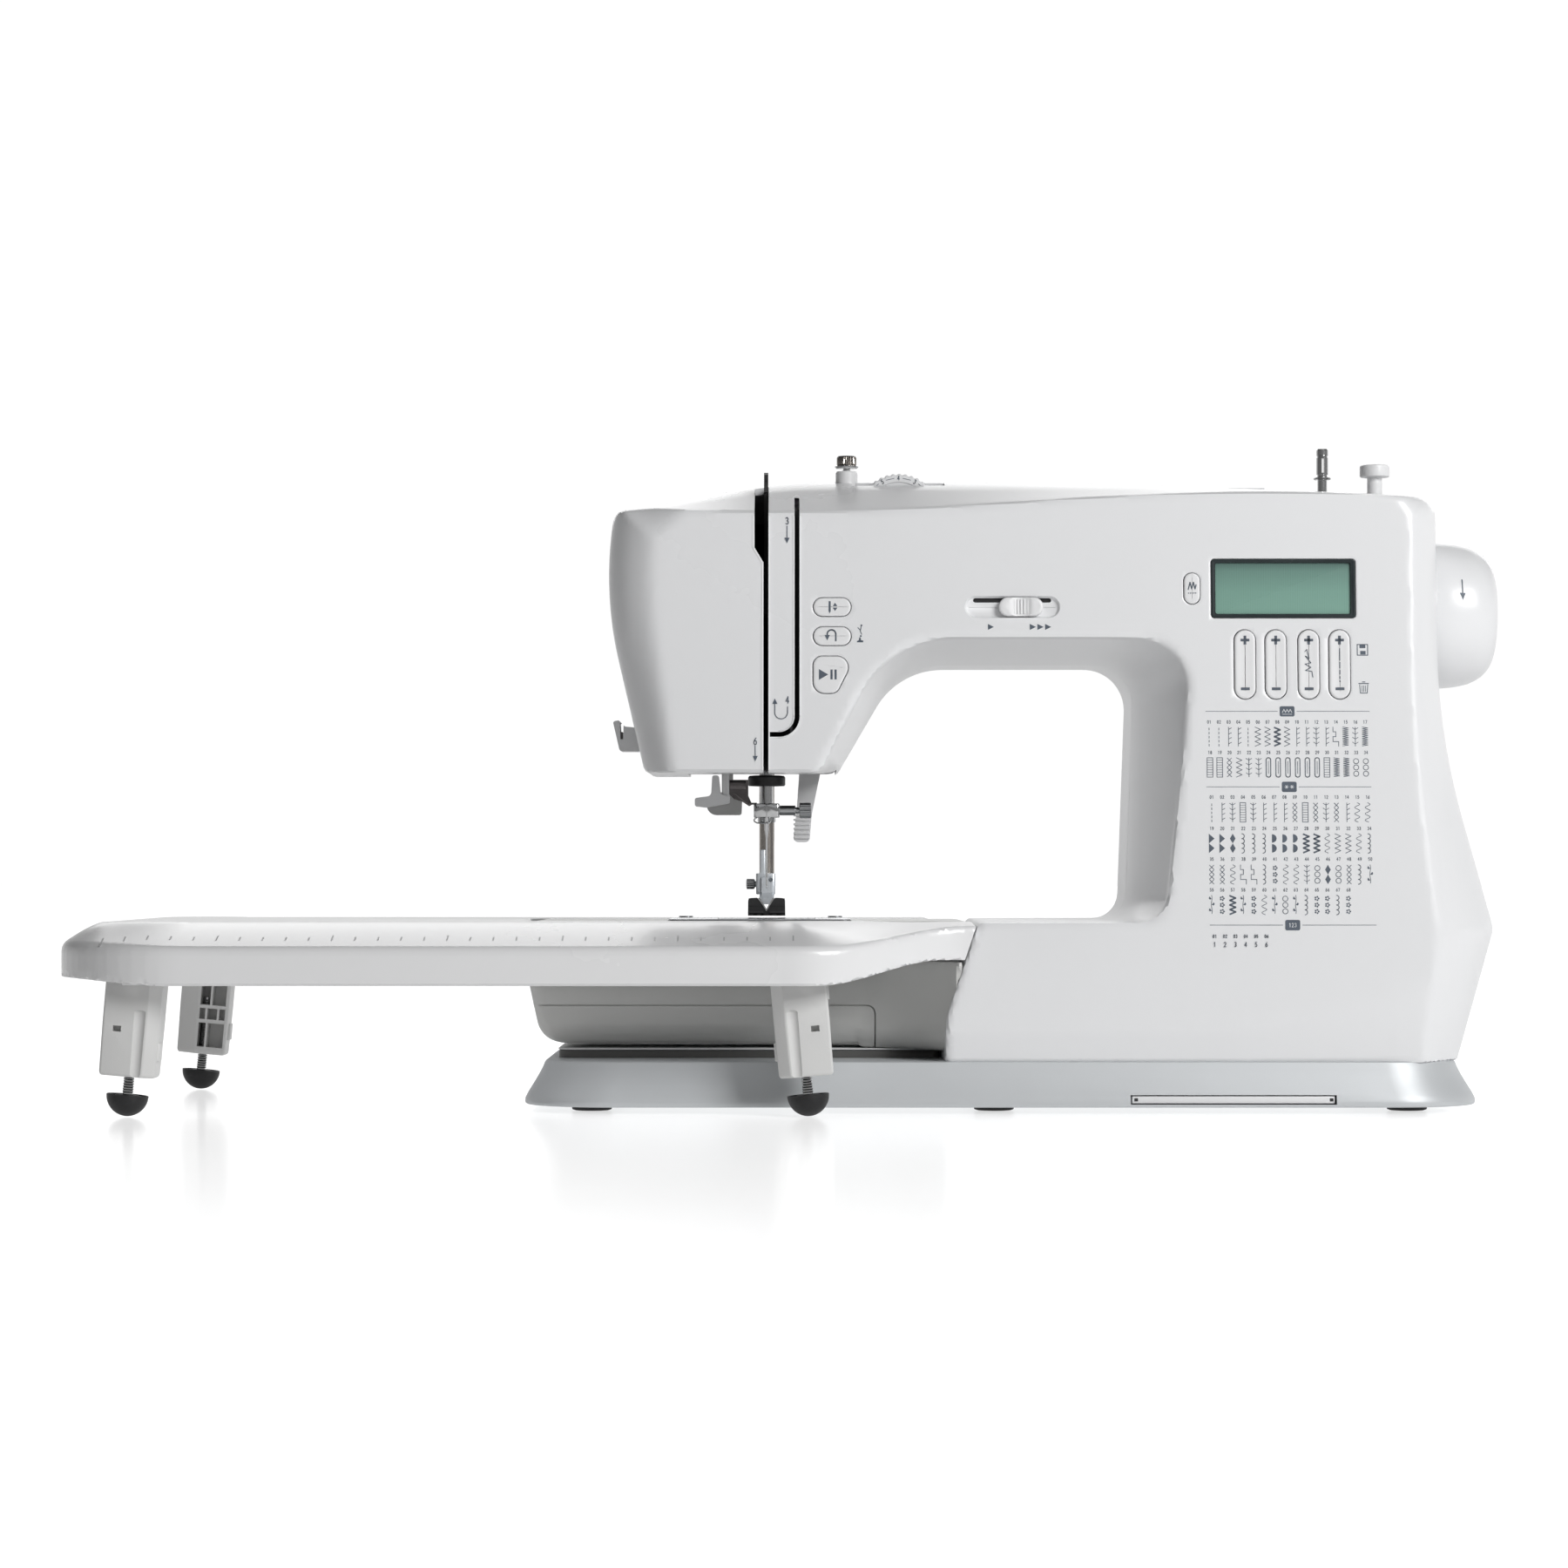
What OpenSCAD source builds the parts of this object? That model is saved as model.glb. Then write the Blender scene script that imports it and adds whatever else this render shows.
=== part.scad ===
// Computerised sewing machine with a free arm and a clip-on extension table.
// Millimetres. +X to the handwheel, +Y to the back, +Z up. The origin is under the middle of the machine
// and its table, on the surface that it stands on.

/* [Bed and arm] */
// Height of the sewing bed above the table top
bed_z = 85; // [84:0.5:86]
// Wall of the plastic casings
wall = 3; // [2.5:0.1:3.2]
// Place of the needle, left to right
needle_x = -12; // [-12.2:0.1:-11.8]
// Depth of the needle, the shafts and the free arm's middle
mid_y = -15; // [-15.2:0.1:-14.8]

/* [Drive] */
// Height of the upper shaft
shaft_z = 225; // [224.5:0.1:225.5]
// Height of the lower shaft
lower_z = 47; // [46.8:0.1:47.2]
// Stroke of the needle bar
stroke = 31; // [28:1:31]
// Radius of the handwheel
wheel_r = 33.6; // [30:0.1:35]

/* [Extension table] */
// Half of the table's depth
table_half = 160; // [150:1:165]
// Left end of the table, which mirrors the handwheel's right end
table_left = -323.4; // [-325:0.1:-318]
// Height of the rim of the table at its front edge
rim_top = 74; // [72:0.5:76]
// Splay of the table's legs, in degrees
splay = 5; // [3:0.5:6]

/* [Hidden] */
$fn = 48;
eps = 0.02;
deck_z = 22;            // top of the base, where the casings start
base_z = 2.5;           // underside of the base, on its rubber feet
wheel_end = 323.4;      // right end of the handwheel
parting = -20;          // depth where the front and rear covers meet
gap = 0.2;              // half the seam between two covers
slot_l = [-13.2, -10.9]; // thread slot on the left, low down
slot_l_top = -17.2;     // its left edge where it widens for the take-up lever
slot_r = [0.7, 2.9];    // thread slot on the right
panel_end = 168.7;      // rounded lower end of the strip between the slots
head_z = 151.5;         // underside of the head
bar_y = 2;              // depth of the presser bar
hook_y = mid_y - 22.5;  // depth of the rotary hook's own shaft
feed_x = 7;             // rows of feed teeth to each side of the needle
face_tilt = 5.06;       // lean of the front panel from upright
rear_screws = [[265, 48, 78], [265, 110, 74.2], [265, 170, 56.2], [-40, 200, 50]]; // x, z, outer face
slider_x = 101.3;
lifter = [9, 162];
dial_x = 48;
dial_z = 268.8;
dial_r = 18.8;
dial_y = [-52, -44];
winder_x = 242.8;
winder_y = -32;
leg_pivot_z = 61;
leg_half = 12;
leg_spots = [[-286, -132, -1], [-286, 118, -1], [2, -132, 1], [2, 118, 1]]; // x, y, way that each leg splays

// ---- outlines ----

// Corners [x, y, radius] of the casing seen from the front, anticlockwise from the tower's lower left
casing_corners = [[67, deck_z, 1], [299.5, deck_z, 1], [315, 81, 7], [291.5, 168, 300], [291, 279.5, 14],
    [160, 285, 700], [-5, 286, 200], [-80.5, 272, 5], [-86, 232, 170], [-67, head_z, 4], [14, head_z - 0.5, 6],
    [44, 207, 50], [168, 207, 23], [157, bed_z - 0.5, 15], [82, bed_z - 0.5, 2], [67.5, 42, 50]];
// Corners [y, z, radius] of the casing seen from the side
side_corners = [[-104, deck_z, 1], [78, deck_z, 1], [78, 100, 60], [50, 190, 60], [50, 286.5, 12],
    [-48, 286.5, 40], [-92, 267, 3], [-109, 75, 60]];
// Corners [x, y, radius] of the casing seen from above
plan_corners = [[-100, -112, 28], [316, -112, 40], [316, 80, 30], [-100, 80, 28]];
// Corners of the free arm seen from the side and from the front
arm_side_corners = [[-68, 27.5, 14], [38, 27.5, 14], [38, bed_z - 0.5, 2], [-68, bed_z - 0.5, 2]];
arm_front_corners = [[-114, 27.5, 17], [66.6, 27.5, 0], [67.1, 42, 50], [86.9, 100, 0], [-120, 100, 0],
    [-120, 60, 40]];
// Corners [x, y, radius] of the extension table seen from above
table_corners = [[table_left, -table_half, 55], [30, -table_half, 45], [60, -113.5, 50], [81.5, -113.5, 0],
    [81.5, -72, 0], [-124, -72, 3], [-124, 42, 3], [66, 42, 0], [66, table_half, 30],
    [table_left, table_half, 55]];

function unit(v) = v / norm(v);
// Points of an arc that rounds corner b between a and c with radius r
function corner_points(a, b, c, r, n) =
    r <= 0 ? [b] :
    let (u = unit(a - b), w = unit(c - b), half = acos(u * w) / 2, centre = b + unit(u + w) * r / sin(half),
        start = b + u * r / tan(half) - centre, from = atan2(start.y, start.x),
        turn = (u.x * w.y - u.y * w.x < 0 ? 1 : -1) * (180 - 2 * half))
    [for (i = [0:n]) centre + r * [cos(from + turn * i / n), sin(from + turn * i / n)]];
function flat2(p) = [p[0], p[1]];
// Outline with each corner [x, y, r] rounded
function rounded(c, n = 6) = let (m = len(c))
    [for (i = [0:m - 1]) each corner_points(flat2(c[(i + m - 1) % m]), flat2(c[i]), flat2(c[(i + 1) % m]),
        c[i][2], n)];
// Corners of an anticlockwise outline moved inwards by d
function inner(c, d) = let (m = len(c)) [for (i = [0:m - 1])
    let (p = flat2(c[i]), a = unit(p - flat2(c[(i + m - 1) % m])), b = unit(flat2(c[(i + 1) % m]) - p),
        na = [-a.y, a.x], nb = [-b.y, b.x], q = p + (na + nb) * d / (1 + na * nb))
    [q.x, q.y, a.x * b.y - a.y * b.x > 0 ? max(c[i][2] - d, 0) : c[i][2] + d]];

// ---- shared shapes ----

module box(lo, hi) translate(lo) cube(hi - lo);
// 2D shape in x, z drawn through the depth from y0 to y1
module through_y(y0, y1) translate([0, y1, 0]) rotate([90, 0, 0]) linear_extrude(y1 - y0) children();
// 2D shape in y, z drawn along x from x0 to x1
module along_x(x0, x1) translate([x0, 0, 0]) rotate([90, 0, 90]) linear_extrude(x1 - x0) children();
module rod_x(x0, x1, y, z, r) translate([x0, y, z]) rotate([0, 90, 0]) cylinder(h = x1 - x0, r = r);
module rod_y(y0, y1, x, z, r) translate([x, y1, z]) rotate([90, 0, 0]) cylinder(h = y1 - y0, r = r);
module rod_z(z0, z1, x, y, r) translate([x, y, z0]) cylinder(h = z1 - z0, r = r);
// Flat bar with round ends, w by h, h tall at most, lying in x, y
module pill(w, h) {
    r = min(w, h) / 2;
    along = w > h;
    square(along ? [w - 2 * r, h] : [w, h - 2 * r], center = true);
    for (s = [-1, 1]) translate(along ? [s * (w / 2 - r), 0] : [0, s * (h / 2 - r)]) circle(r);
}
// Depth of the front panel at height z
function face_y(z) = -109 + (z - 75) * 17 / 192;
// Local frame on the front panel: x to the right, y up the panel, z out of it
module on_face(x, z) translate([x, face_y(z), z]) rotate([90 - face_tilt, 0, 0]) children();

module casing_body(d) intersection() {
    through_y(-130, 90) polygon(rounded(inner(casing_corners, d)));
    along_x(-100, 330) polygon(rounded(inner(side_corners, d)));
    translate([0, 0, 10]) linear_extrude(290) polygon(rounded(inner(plan_corners, d)));
}
// Open-bottomed shell of the whole casing, before it is split into covers
module casing_shell() difference() {
    casing_body(0);
    casing_body(wall);
    box([74, -98, 15], [292, 72, 26]);                 // open underside of the tower
    box([60, -64, 30], [95, 34, 81.5]);                // the free arm's frame passes here
    box([-48, -40, 145], [20, 40, 158]);               // underside of the head, for the bars
    rod_x(280, 320, mid_y, shaft_z, 13);               // handwheel hub
}

// ---- covers ----

// Regions of the head front in x, z, split by the two thread slots
module face_region() polygon([[-120, 100], [slot_l[0], 100], [slot_l[0], 244], [slot_l_top, 250],
    [slot_l_top, 300], [-120, 300]]);
// Region of the front cover: the slot that goes down beside the strip turns under its rounded end
module front_region() difference() {
    translate([slot_l[1], 0]) square([340, 300]);
    difference() {
        polygon(rounded([[-40, panel_end - 2.2, 0], [slot_r[1], panel_end - 2.2, 9.2], [slot_r[1], 275, 0],
            [-40, 275, 0]]));
        polygon(rounded([[-41, panel_end, 0], [slot_r[0], panel_end, 7], [slot_r[0], 276, 0], [-41, 276, 0]]));
    }
}

button_spots = [[17.4, 224.4], [17.4, 211.4]];
key_xs = [200.7, 214.4, 229, 242.7];
key_z = 198.8;
lcd = [218.2, 232.7];

module start_shape(d) polygon(rounded([[-7.7 - d, -8.2 - d, 5], [2.6 + d, -8.2 - d, 4], [7.7 + d, 2, 5],
    [7.7 + d, 8.2 + d, 5], [-7.7 - d, 8.2 + d, 4]]));

module front_cover() color([0.93, 0.93, 0.94]) difference() {
    intersection() {
        casing_shell();
        through_y(-130, parting - gap) front_region();
    }
    for (s = button_spots) on_face(s[0], s[1]) translate([0, 0, -12]) linear_extrude(30) pill(17.3, 8.8);
    on_face(16.7, 194.2) translate([0, 0, -12]) linear_extrude(30) start_shape(0.35);
    on_face(177.4, 232.7) translate([0, 0, -12]) linear_extrude(30) pill(7.7, 14.4);
    for (x = key_xs) on_face(x, key_z) translate([0, 0, -12]) linear_extrude(30) pill(10.2, 31.7);
    on_face(lcd[0], lcd[1]) translate([-32.5, -13.5, -12]) cube([65, 27, 30]);
    on_face(97.5, 224.4) translate([0, 0, -1.8]) linear_extrude(20) pill(41.8, 9.3);
    on_face(97.5, 227.6) translate([-17.4, -1, -12]) cube([34.8, 2, 30]);
    box([dial_x - 21, dial_y[0] - 1, 262], [dial_x + 21, dial_y[1] + 1, 295]);
    box([winder_x - 5, winder_y - 5, 270], [winder_x + 11, winder_y + 5, 295]);
    rod_z(270, 295, 24.6, -40, 3.3);
    rod_z(270, 295, 268.2, winder_y, 3.5);
}

module rear_cover() color([0.92, 0.92, 0.93]) difference() {
    union() {
        intersection() {
            casing_shell();
            box([-130, parting + gap, 10], [330, 100, 300]);
        }
        // pocket for the thread spool, on top
        difference() {
            box([92, -16, 254], [218, 44, 284]);
            box([95, -13, 257], [215, 41, 290]);
        }
        // pocket for the mains switch and inlet, on the right
        intersection() {
            casing_body(0);
            box([290, -1, 33], [330, 67, 81]);
        }
        for (x = [24, 152]) difference() {
            union() {
                rod_x(x, x + 6, 56, 266, 6);
                box([x, 47, 260], [x + 6, 56, 272]);
            }
            rod_x(x - 1, x + 7, 56, 266, 2.85);
        }
    }
    box([95, -13, 257], [215, 41, 300]);
    box([293, 2, 36], [330, 64, 78]);
    box([285, 10.5, 49.5], [300, 31.5, 62.5]);
    box([285, 38, 44], [300, 58, 68]);
    box([4, 18, 145], [26, 28, 168]);                  // slot that the presser lifter swings in
    for (s = rear_screws) rod_y(40, 90, s[0], s[1], 2);
}

module face_cover() color([0.93, 0.93, 0.94]) intersection() {
    casing_shell();
    through_y(-130, parting - gap) face_region();
}

// Black housing behind the thread slots, with the tension discs and the dial's spindle
module tension_unit() color([0.05, 0.05, 0.05]) {
    box([-9.6, -84, 172], [11, -81, 258]);
    box([8, -81, 172], [11, -38, 258]);
    box([8, -40, 172], [11, -30, 194]);
    box([-9, -34, 172], [11, -30, 194]);
    box([-24, -33, 172], [-0.5, -30, 266]);
    box([-6, -34, 256], [dial_x + 4, -31, 266]);
    box([dial_x - 4, -34, 262], [dial_x + 4, -31, 272]);
    rod_y(-51, -31, dial_x, dial_z, 1.7);
    rod_x(-9.6, 8, -64, 243, 2);
    for (x = [-6, -3.6, 1, 3.4]) rod_x(x, x + 1.2, -64, 243, 11);
    box([-9.6, -81, 240], [-8, -38, 246]);
    rod_x(-17, -9, -40, 228, 1.5);
    box([-19, -43, 224], [-17, -30, 232]);
}

module free_arm_cover() color([0.88, 0.88, 0.86]) difference() {
    intersection() {
        along_x(-120, 90) polygon(rounded(arm_side_corners));
        through_y(-80, 50) polygon(rounded(arm_front_corners));
    }
    intersection() {
        along_x(-117, 95) polygon(rounded(inner(arm_side_corners, wall)));
        through_y(-80, 50) polygon(rounded(inner(arm_front_corners, wall)));
    }
    box([60, -65, 30.5], [95, 35, bed_z - 3.5]);
    box([-56.9, -60.3, 79], [26.8, 28.3, 90]);
    // seam of the lower front cover
    box([-119, -69, 47.2], [38, -67.5, 47.8]);
    box([38, -69, 27], [38.6, -67.5, 47.8]);
}

module needle_plate() color([0.75, 0.76, 0.78]) difference() {
    box([-56.6, -60, bed_z - 1.5], [26.5, 28, bed_z + 0.3]);
    translate([needle_x, mid_y - 4, bed_z - 5]) linear_extrude(10) pill(8.4, 2.6);
    for (s = [-1, 1]) box([needle_x + s * feed_x - 1.6, -30, bed_z - 5], [needle_x + s * feed_x + 1.6, 2, bed_z + 5]);
    box([-34.2, -57.2, bed_z - 5], [10.2, -31.3, bed_z + 5]);
    for (x = [-50, 20]) rod_z(bed_z - 5, bed_z + 5, x, 20, 2.1);
}

module bobbin_cover() color([0.8, 0.85, 0.88, 0.5])
    box([-34, -57, bed_z - 1.5], [10, -31.5, bed_z + 0.3]);

// ---- base ----

module base_body(d) intersection() {
    through_y(-130, 100) polygon([[-120.5 + d, base_z], [306.6 - d, base_z], [297.2 - d, deck_z - d],
        [-110.7 + d, deck_z - d]]);
    along_x(-130, 320) polygon([[-111 + d, base_z], [81 - d, base_z], [76 - d, deck_z - d],
        [-105.5 + d, deck_z - d]]);
    translate([0, 0, base_z - 1]) linear_extrude(30)
        polygon(rounded(inner([[-120.5, -111, 40], [306.6, -111, 40], [306.6, 81, 40], [-120.5, 81, 40]], d)));
}
module base() color([0.66, 0.68, 0.69]) difference() {
    union() {
        base_body(0);
        box([-110, -66, deck_z - 0.5], [62, 36, 26]);
    }
    intersection() {
        base_body(2.5);
        box([-200, -200, 4], [400, 200, deck_z + 5]);
    }
    box([-107.5, -63.5, deck_z - 3], [59.5, 33.5, 23.5]);
    box([78, -94, deck_z - 4], [288, 68, deck_z + 5]);
    box([149, -120, 4], [240, 5, 8]);
}
module base_feet() color([0.1, 0.1, 0.1])
    for (x = [-90, 90, 275], y = [-80, 50]) rod_z(0, base_z, x, y, 9);
module reference_tray() color([0.9, 0.9, 0.88]) {
    box([149.6, -108.5, 4.4], [239.4, 0, 6]);
    box([149.6, -108.5, 4.4], [239.4, -106.5, 7.6]);
}

// ---- frame and drive ----

module chassis() color([0.6, 0.61, 0.62]) difference() {
    union() {
        box([14, -43, 214], [20, 16, 252]);
        box([184, -43, 32], [190, 15, 252]);
        box([262, -43, 32], [268, 15, 252]);
        box([262, 15, 68], [268, 64, 124]);
        for (y = [[-43, -37], [9, 15]]) box([11, y[0], 236], [268, y[1], 252]);
        box([-105, -48, 32], [268, 18, 37]);
        box([20, -30, 37], [26, 0, 60]);
        box([-58, 12, 155.2], [12, 16, 268]);
        box([11, 12, 202], [20, 16, 252]);
        for (z = [[162, 170], [236, 246]]) box([needle_x - 7, -4, z[0]], [needle_x + 7, 12, z[1]]);
        // pivots of the needle-bar frame and the presser lifter
        rod_y(-27, 14, -28, 262, 2);
        rod_y(15, 27, lifter.x, lifter.y, 1.7);
        for (x = [-105, 61], y = [[-56, -44], [16, 28]]) box([x, y[0], 32], [x + 6, y[1], 40]);
        // posts that stand in the base
        for (x = [100, 142, 248], y = [-40, 10]) rod_z(4, 33, x, y, 5);
        // lugs for the rear cover's screws
        for (s = rear_screws) if (s[0] > 0) box([262, 14, s[1] - 6], [268, s[2] - 6, s[1] + 6]);
            else rod_y(15, s[2] - 4, s[0], s[1], 5);
    }
    for (s = rear_screws) rod_y(s[2] - 15, s[2], s[0], s[1], 2);
    for (x = [10, 180, 258]) rod_x(x, x + 14, mid_y, shaft_z, 6.35);
    for (x = [16, 180, 258]) rod_x(x, x + 14, mid_y, lower_z, 5.35);
    rod_x(258, 272, 38, 95, 10);
    box([-30, -58, 30], [6, 2, 40]);                   // around the hook's gears
    for (z = [160, 234]) rod_z(z, z + 14, needle_x, bar_y, 3.85);
}
// Wheel with n square teeth round its rim, on the x axis
module toothed_x(x0, x1, y, z, r, n, depth, width) difference() {
    rod_x(x0, x1, y, z, r);
    for (i = [0:n - 1]) translate([x0 - 1, y, z]) rotate([i * 360 / n, 0, 0])
        translate([0, r - depth, -width / 2]) cube([x1 - x0 + 2, depth + 1, width]);
}
module main_shaft() color([0.75, 0.75, 0.77]) {
    rod_x(4, 304, mid_y, shaft_z, 6);
    toothed_x(271, 278, mid_y, shaft_z, 20, 20, 1.2, 3);
    rod_x(278, 279.5, mid_y, shaft_z, 22);
    rod_x(280.5, 286.5, mid_y, shaft_z, 26);
    // crank for the needle bar, its pin up, with its counterweight
    rod_x(4, 10, mid_y, shaft_z, 11);
    intersection() {
        rod_x(4, 10, mid_y, shaft_z, 21);
        union() {
            box([3, mid_y - 14, shaft_z - 21], [11, mid_y + 14, shaft_z]);
            box([3, mid_y - 5, shaft_z], [11, mid_y + 5, shaft_z + 21]);
        }
    }
    rod_x(1, 5, mid_y, shaft_z + stroke / 2, 2.5);
}
module handwheel() color([0.93, 0.93, 0.94]) translate([0, mid_y, shaft_z]) rotate([0, 90, 0])
    rotate_extrude($fn = 96) polygon([[6, 296], [11.5, 296], [11.5, 292.6], [wheel_r - 0.3, 292.6],
        [wheel_r, 294], [wheel_r, 300], [wheel_r - 1.2, 308], [wheel_r - 3.2, 314.5], [wheel_r - 6.5, 319.2],
        [wheel_r - 10.5, 322], [wheel_r - 15, wheel_end], [0, wheel_end], [0, 320.4], [wheel_r - 15, 320.4],
        [wheel_r - 9, 317], [wheel_r - 5, 311], [wheel_r - 3, 302], [wheel_r - 3, 297], [14.5, 297],
        [14.5, 304.2], [6, 304.2]]);
module lower_shaft() color([0.72, 0.72, 0.74]) {
    rod_x(-22, 282, mid_y, lower_z, 5);
    toothed_x(271, 278, mid_y, lower_z, 20, 20, 1.2, 3);
    toothed_x(-19, -5, mid_y, lower_z, 14.6, 26, 1.6, 1.7);
}
module rotary_hook() color([0.78, 0.78, 0.8]) difference() {
    union() {
        rod_z(62.5, 79, needle_x, hook_y, 17.4);
        rod_z(40, 63, needle_x, hook_y, 3);
        difference() {
            rod_z(42, 52, needle_x, hook_y, 7.3);
            for (i = [0:12]) translate([needle_x, hook_y, 40]) rotate([0, 0, i * 360 / 13])
                translate([5.7, -0.85, 0]) cube([3, 1.7, 14]);
        }
    }
    rod_z(64.5, 80, needle_x, hook_y, 15);
    translate([needle_x, hook_y, 71]) rotate([0, 0, 200]) cube([20, 6, 12]);
}
module bobbin() color([0.8, 0.85, 0.9, 0.7]) difference() {
    union() {
        rod_z(66, 77.6, needle_x, hook_y, 5);
        for (z = [66, 76.4]) rod_z(z, z + 1.2, needle_x, hook_y, 10.2);
    }
    rod_z(65, 79, needle_x, hook_y, 3.1);
}
// Belt round two wheels [y, z, r] on the x axis
module belt(x0, x1, a, b, t) along_x(x0, x1) difference() {
    hull() {
        translate([a[0], a[1]]) circle(a[2] + t, $fn = 40);
        translate([b[0], b[1]]) circle(b[2] + t, $fn = 40);
    }
    hull() {
        translate([a[0], a[1]]) circle(a[2] + 0.35, $fn = 40);
        translate([b[0], b[1]]) circle(b[2] + 0.35, $fn = 40);
    }
}
module drive_belts() color([0.08, 0.08, 0.08]) {
    belt(272, 277, [mid_y, shaft_z, 20], [mid_y, lower_z, 20], 1.8);
    belt(281.5, 285.5, [mid_y, shaft_z, 26], [38, 95, 6], 1.8);
}
module motors() color([0.3, 0.31, 0.33]) {
    rod_x(205, 262, 38, 95, 24);
    box([34, -34, 216], [60, -24, 238]);             // steps the needle from side to side
    rod_y(-38, -34, 47, 227, 3);
    box([96, -42, 38], [130, -22, 72]);              // steps the feed
    rod_x(88, 96, -32, 55, 3);
}
module motor_pulley() color([0.7, 0.7, 0.72]) {
    rod_x(262.4, 286.5, 38, 95, 3);
    rod_x(280.5, 286.5, 38, 95, 6);
}
module display_board() color([0.42, 0.6, 0.52]) {
    on_face(lcd[0], lcd[1]) translate([-31, -12.4, -6.5]) cube([62, 24.8, 3]);
    on_face(218, 206) translate([-38, -34, -11]) cube([76, 76, 1.6]);
    on_face(218, 206) for (x = [-34, 34], y = [-30, 38]) translate([x, y, -9.4]) cylinder(h = 6.3, r = 2);
    on_face(17, 211) translate([-12, -28, -9.5]) cube([20, 50, 1.6]);
    on_face(17, 211) for (y = [-19, 20]) translate([-10.6, y, -8]) cylinder(h = 4.95, r = 1.3);
}
module lcd_window() color([0.75, 0.85, 0.82, 0.4])
    on_face(lcd[0], lcd[1]) translate([-32.2, -13.2, -2.6]) cube([64.4, 26.4, 1.6]);

// ---- needle, presser and take-up ----

module needle_bar_frame() color([0.6, 0.6, 0.62]) difference() {
    union() {
        box([-30, mid_y - 8, 160], [-25, mid_y + 8, 266]);
        for (z = [160, 222]) box([-25, mid_y - 7, z], [-6, mid_y + 7, z + 8]);
        rod_y(mid_y - 8, mid_y + 8, -28, 262, 5);
    }
    rod_y(-30, 20, -28, 262, 2.35);
    for (z = [158, 220]) rod_z(z, z + 12, needle_x, mid_y, 3.35);
}
module needle_bar() color([0.8, 0.8, 0.82]) {
    rod_z(131, 268, needle_x, mid_y, 3);
    box([-18, mid_y - 5, 207], [-6.5, mid_y + 5, 215]);
    rod_x(-7, -5, mid_y, 211, 2.5);
    // connecting rod, open at the crank pin
    along_x(-5, -2) difference() {
        union() {
            translate([mid_y - 3, 211]) square([6, shaft_z + stroke / 2 - 211]);
            translate([mid_y, 211]) circle(5);
            translate([mid_y, shaft_z + stroke / 2]) circle(5.5);
        }
        translate([mid_y, shaft_z + stroke / 2]) circle(2.7);
    }
}
module needle_clamp() color([0.85, 0.85, 0.87]) {
    difference() {
        union() {
            box([-18, mid_y - 5, 131.6], [-6, mid_y + 4.5, 138.2]);
            rod_z(129.4, 131.6, needle_x, mid_y, 4.2);
        }
        rod_z(129, 139, needle_x, mid_y, 3);
        rod_z(129, 139, needle_x, mid_y - 4, 1.02);
    }
    rod_x(-6, 1.4, mid_y - 1, 135, 2.3);
    rod_x(1.4, 3, mid_y - 1, 135, 1.5);
    rod_x(3, 8.6, mid_y - 1, 135, 3.6);
    // thread guide wire
    difference() {
        box([-18.5, mid_y - 7.6, 128.6], [-9.5, mid_y - 6.8, 131.4]);
        box([-17.9, mid_y - 8, 129.2], [-10.1, mid_y - 6, 130.8]);
    }
    box([-18.5, mid_y - 7.6, 130.4], [-17.7, mid_y - 4.8, 131.8]);
}
// Flat-shanked needle, in the clamp, in front of the bar's axis
module needle() color([0.85, 0.85, 0.86]) translate([needle_x, mid_y - 4, 0]) {
    rod_z(126, 138, 0, 0, 1);
    translate([0, 0, 122]) cylinder(h = 4, r1 = 0.42, r2 = 1, $fn = 32);
    rod_z(102, 122, 0, 0, 0.42);
    translate([0, 0, 99]) cylinder(h = 3, r1 = 0.08, r2 = 0.42, $fn = 32);
}
// Lever that pulls the thread up, its eye at the top of its swing
module take_up_lever() color([0.12, 0.12, 0.12]) along_x(-12.7, -11.4) difference() {
    union() {
        translate([-40, 228]) circle(5);
        translate([-40, 228]) rotate(22) translate([-2.2, 0]) square([4.4, 60]);
        translate([-40, 228]) rotate(22) translate([0, 60]) circle(3.2);
        translate([-40, 228]) rotate(22) translate([-9, 56]) square([9, 3.4]);
    }
    translate([-40, 228]) circle(1.85);
    translate([-40, 228]) rotate(22) translate([0, 60]) circle(1.1);
}
module presser_bar() color([0.72, 0.7, 0.67]) {
    rod_z(97, 258, needle_x, bar_y, 3.5);
    box([-19, bar_y - 4.5, 196], [-5, bar_y + 5, 204]);
    box([-5, bar_y - 1, 198], [2, bar_y + 5, 202]);
}
module foot_holder() color([0.83, 0.83, 0.85]) {
    difference() {
        union() {
            box([-17, bar_y - 9, 96.2], [-8, bar_y + 4.5, 106]);
            box([-15.5, bar_y - 13.5, 91.6], [-8.5, bar_y - 8.5, 97.2]);
            box([-15.2, bar_y - 8.5, 106], [-12.6, bar_y - 6.5, 117]);
        }
        rod_z(96.9, 107, needle_x, bar_y, 3.5);
        rod_y(-30, 20, -10.2, 103, 1);
    }
    rod_x(-21.3, -17, bar_y - 3, 101, 2.4);
    rod_x(-17, -15.8, bar_y - 3, 101, 1.4);
    rod_x(-17.8, -6.2, bar_y - 11, 92.8, 0.9);
}
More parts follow.
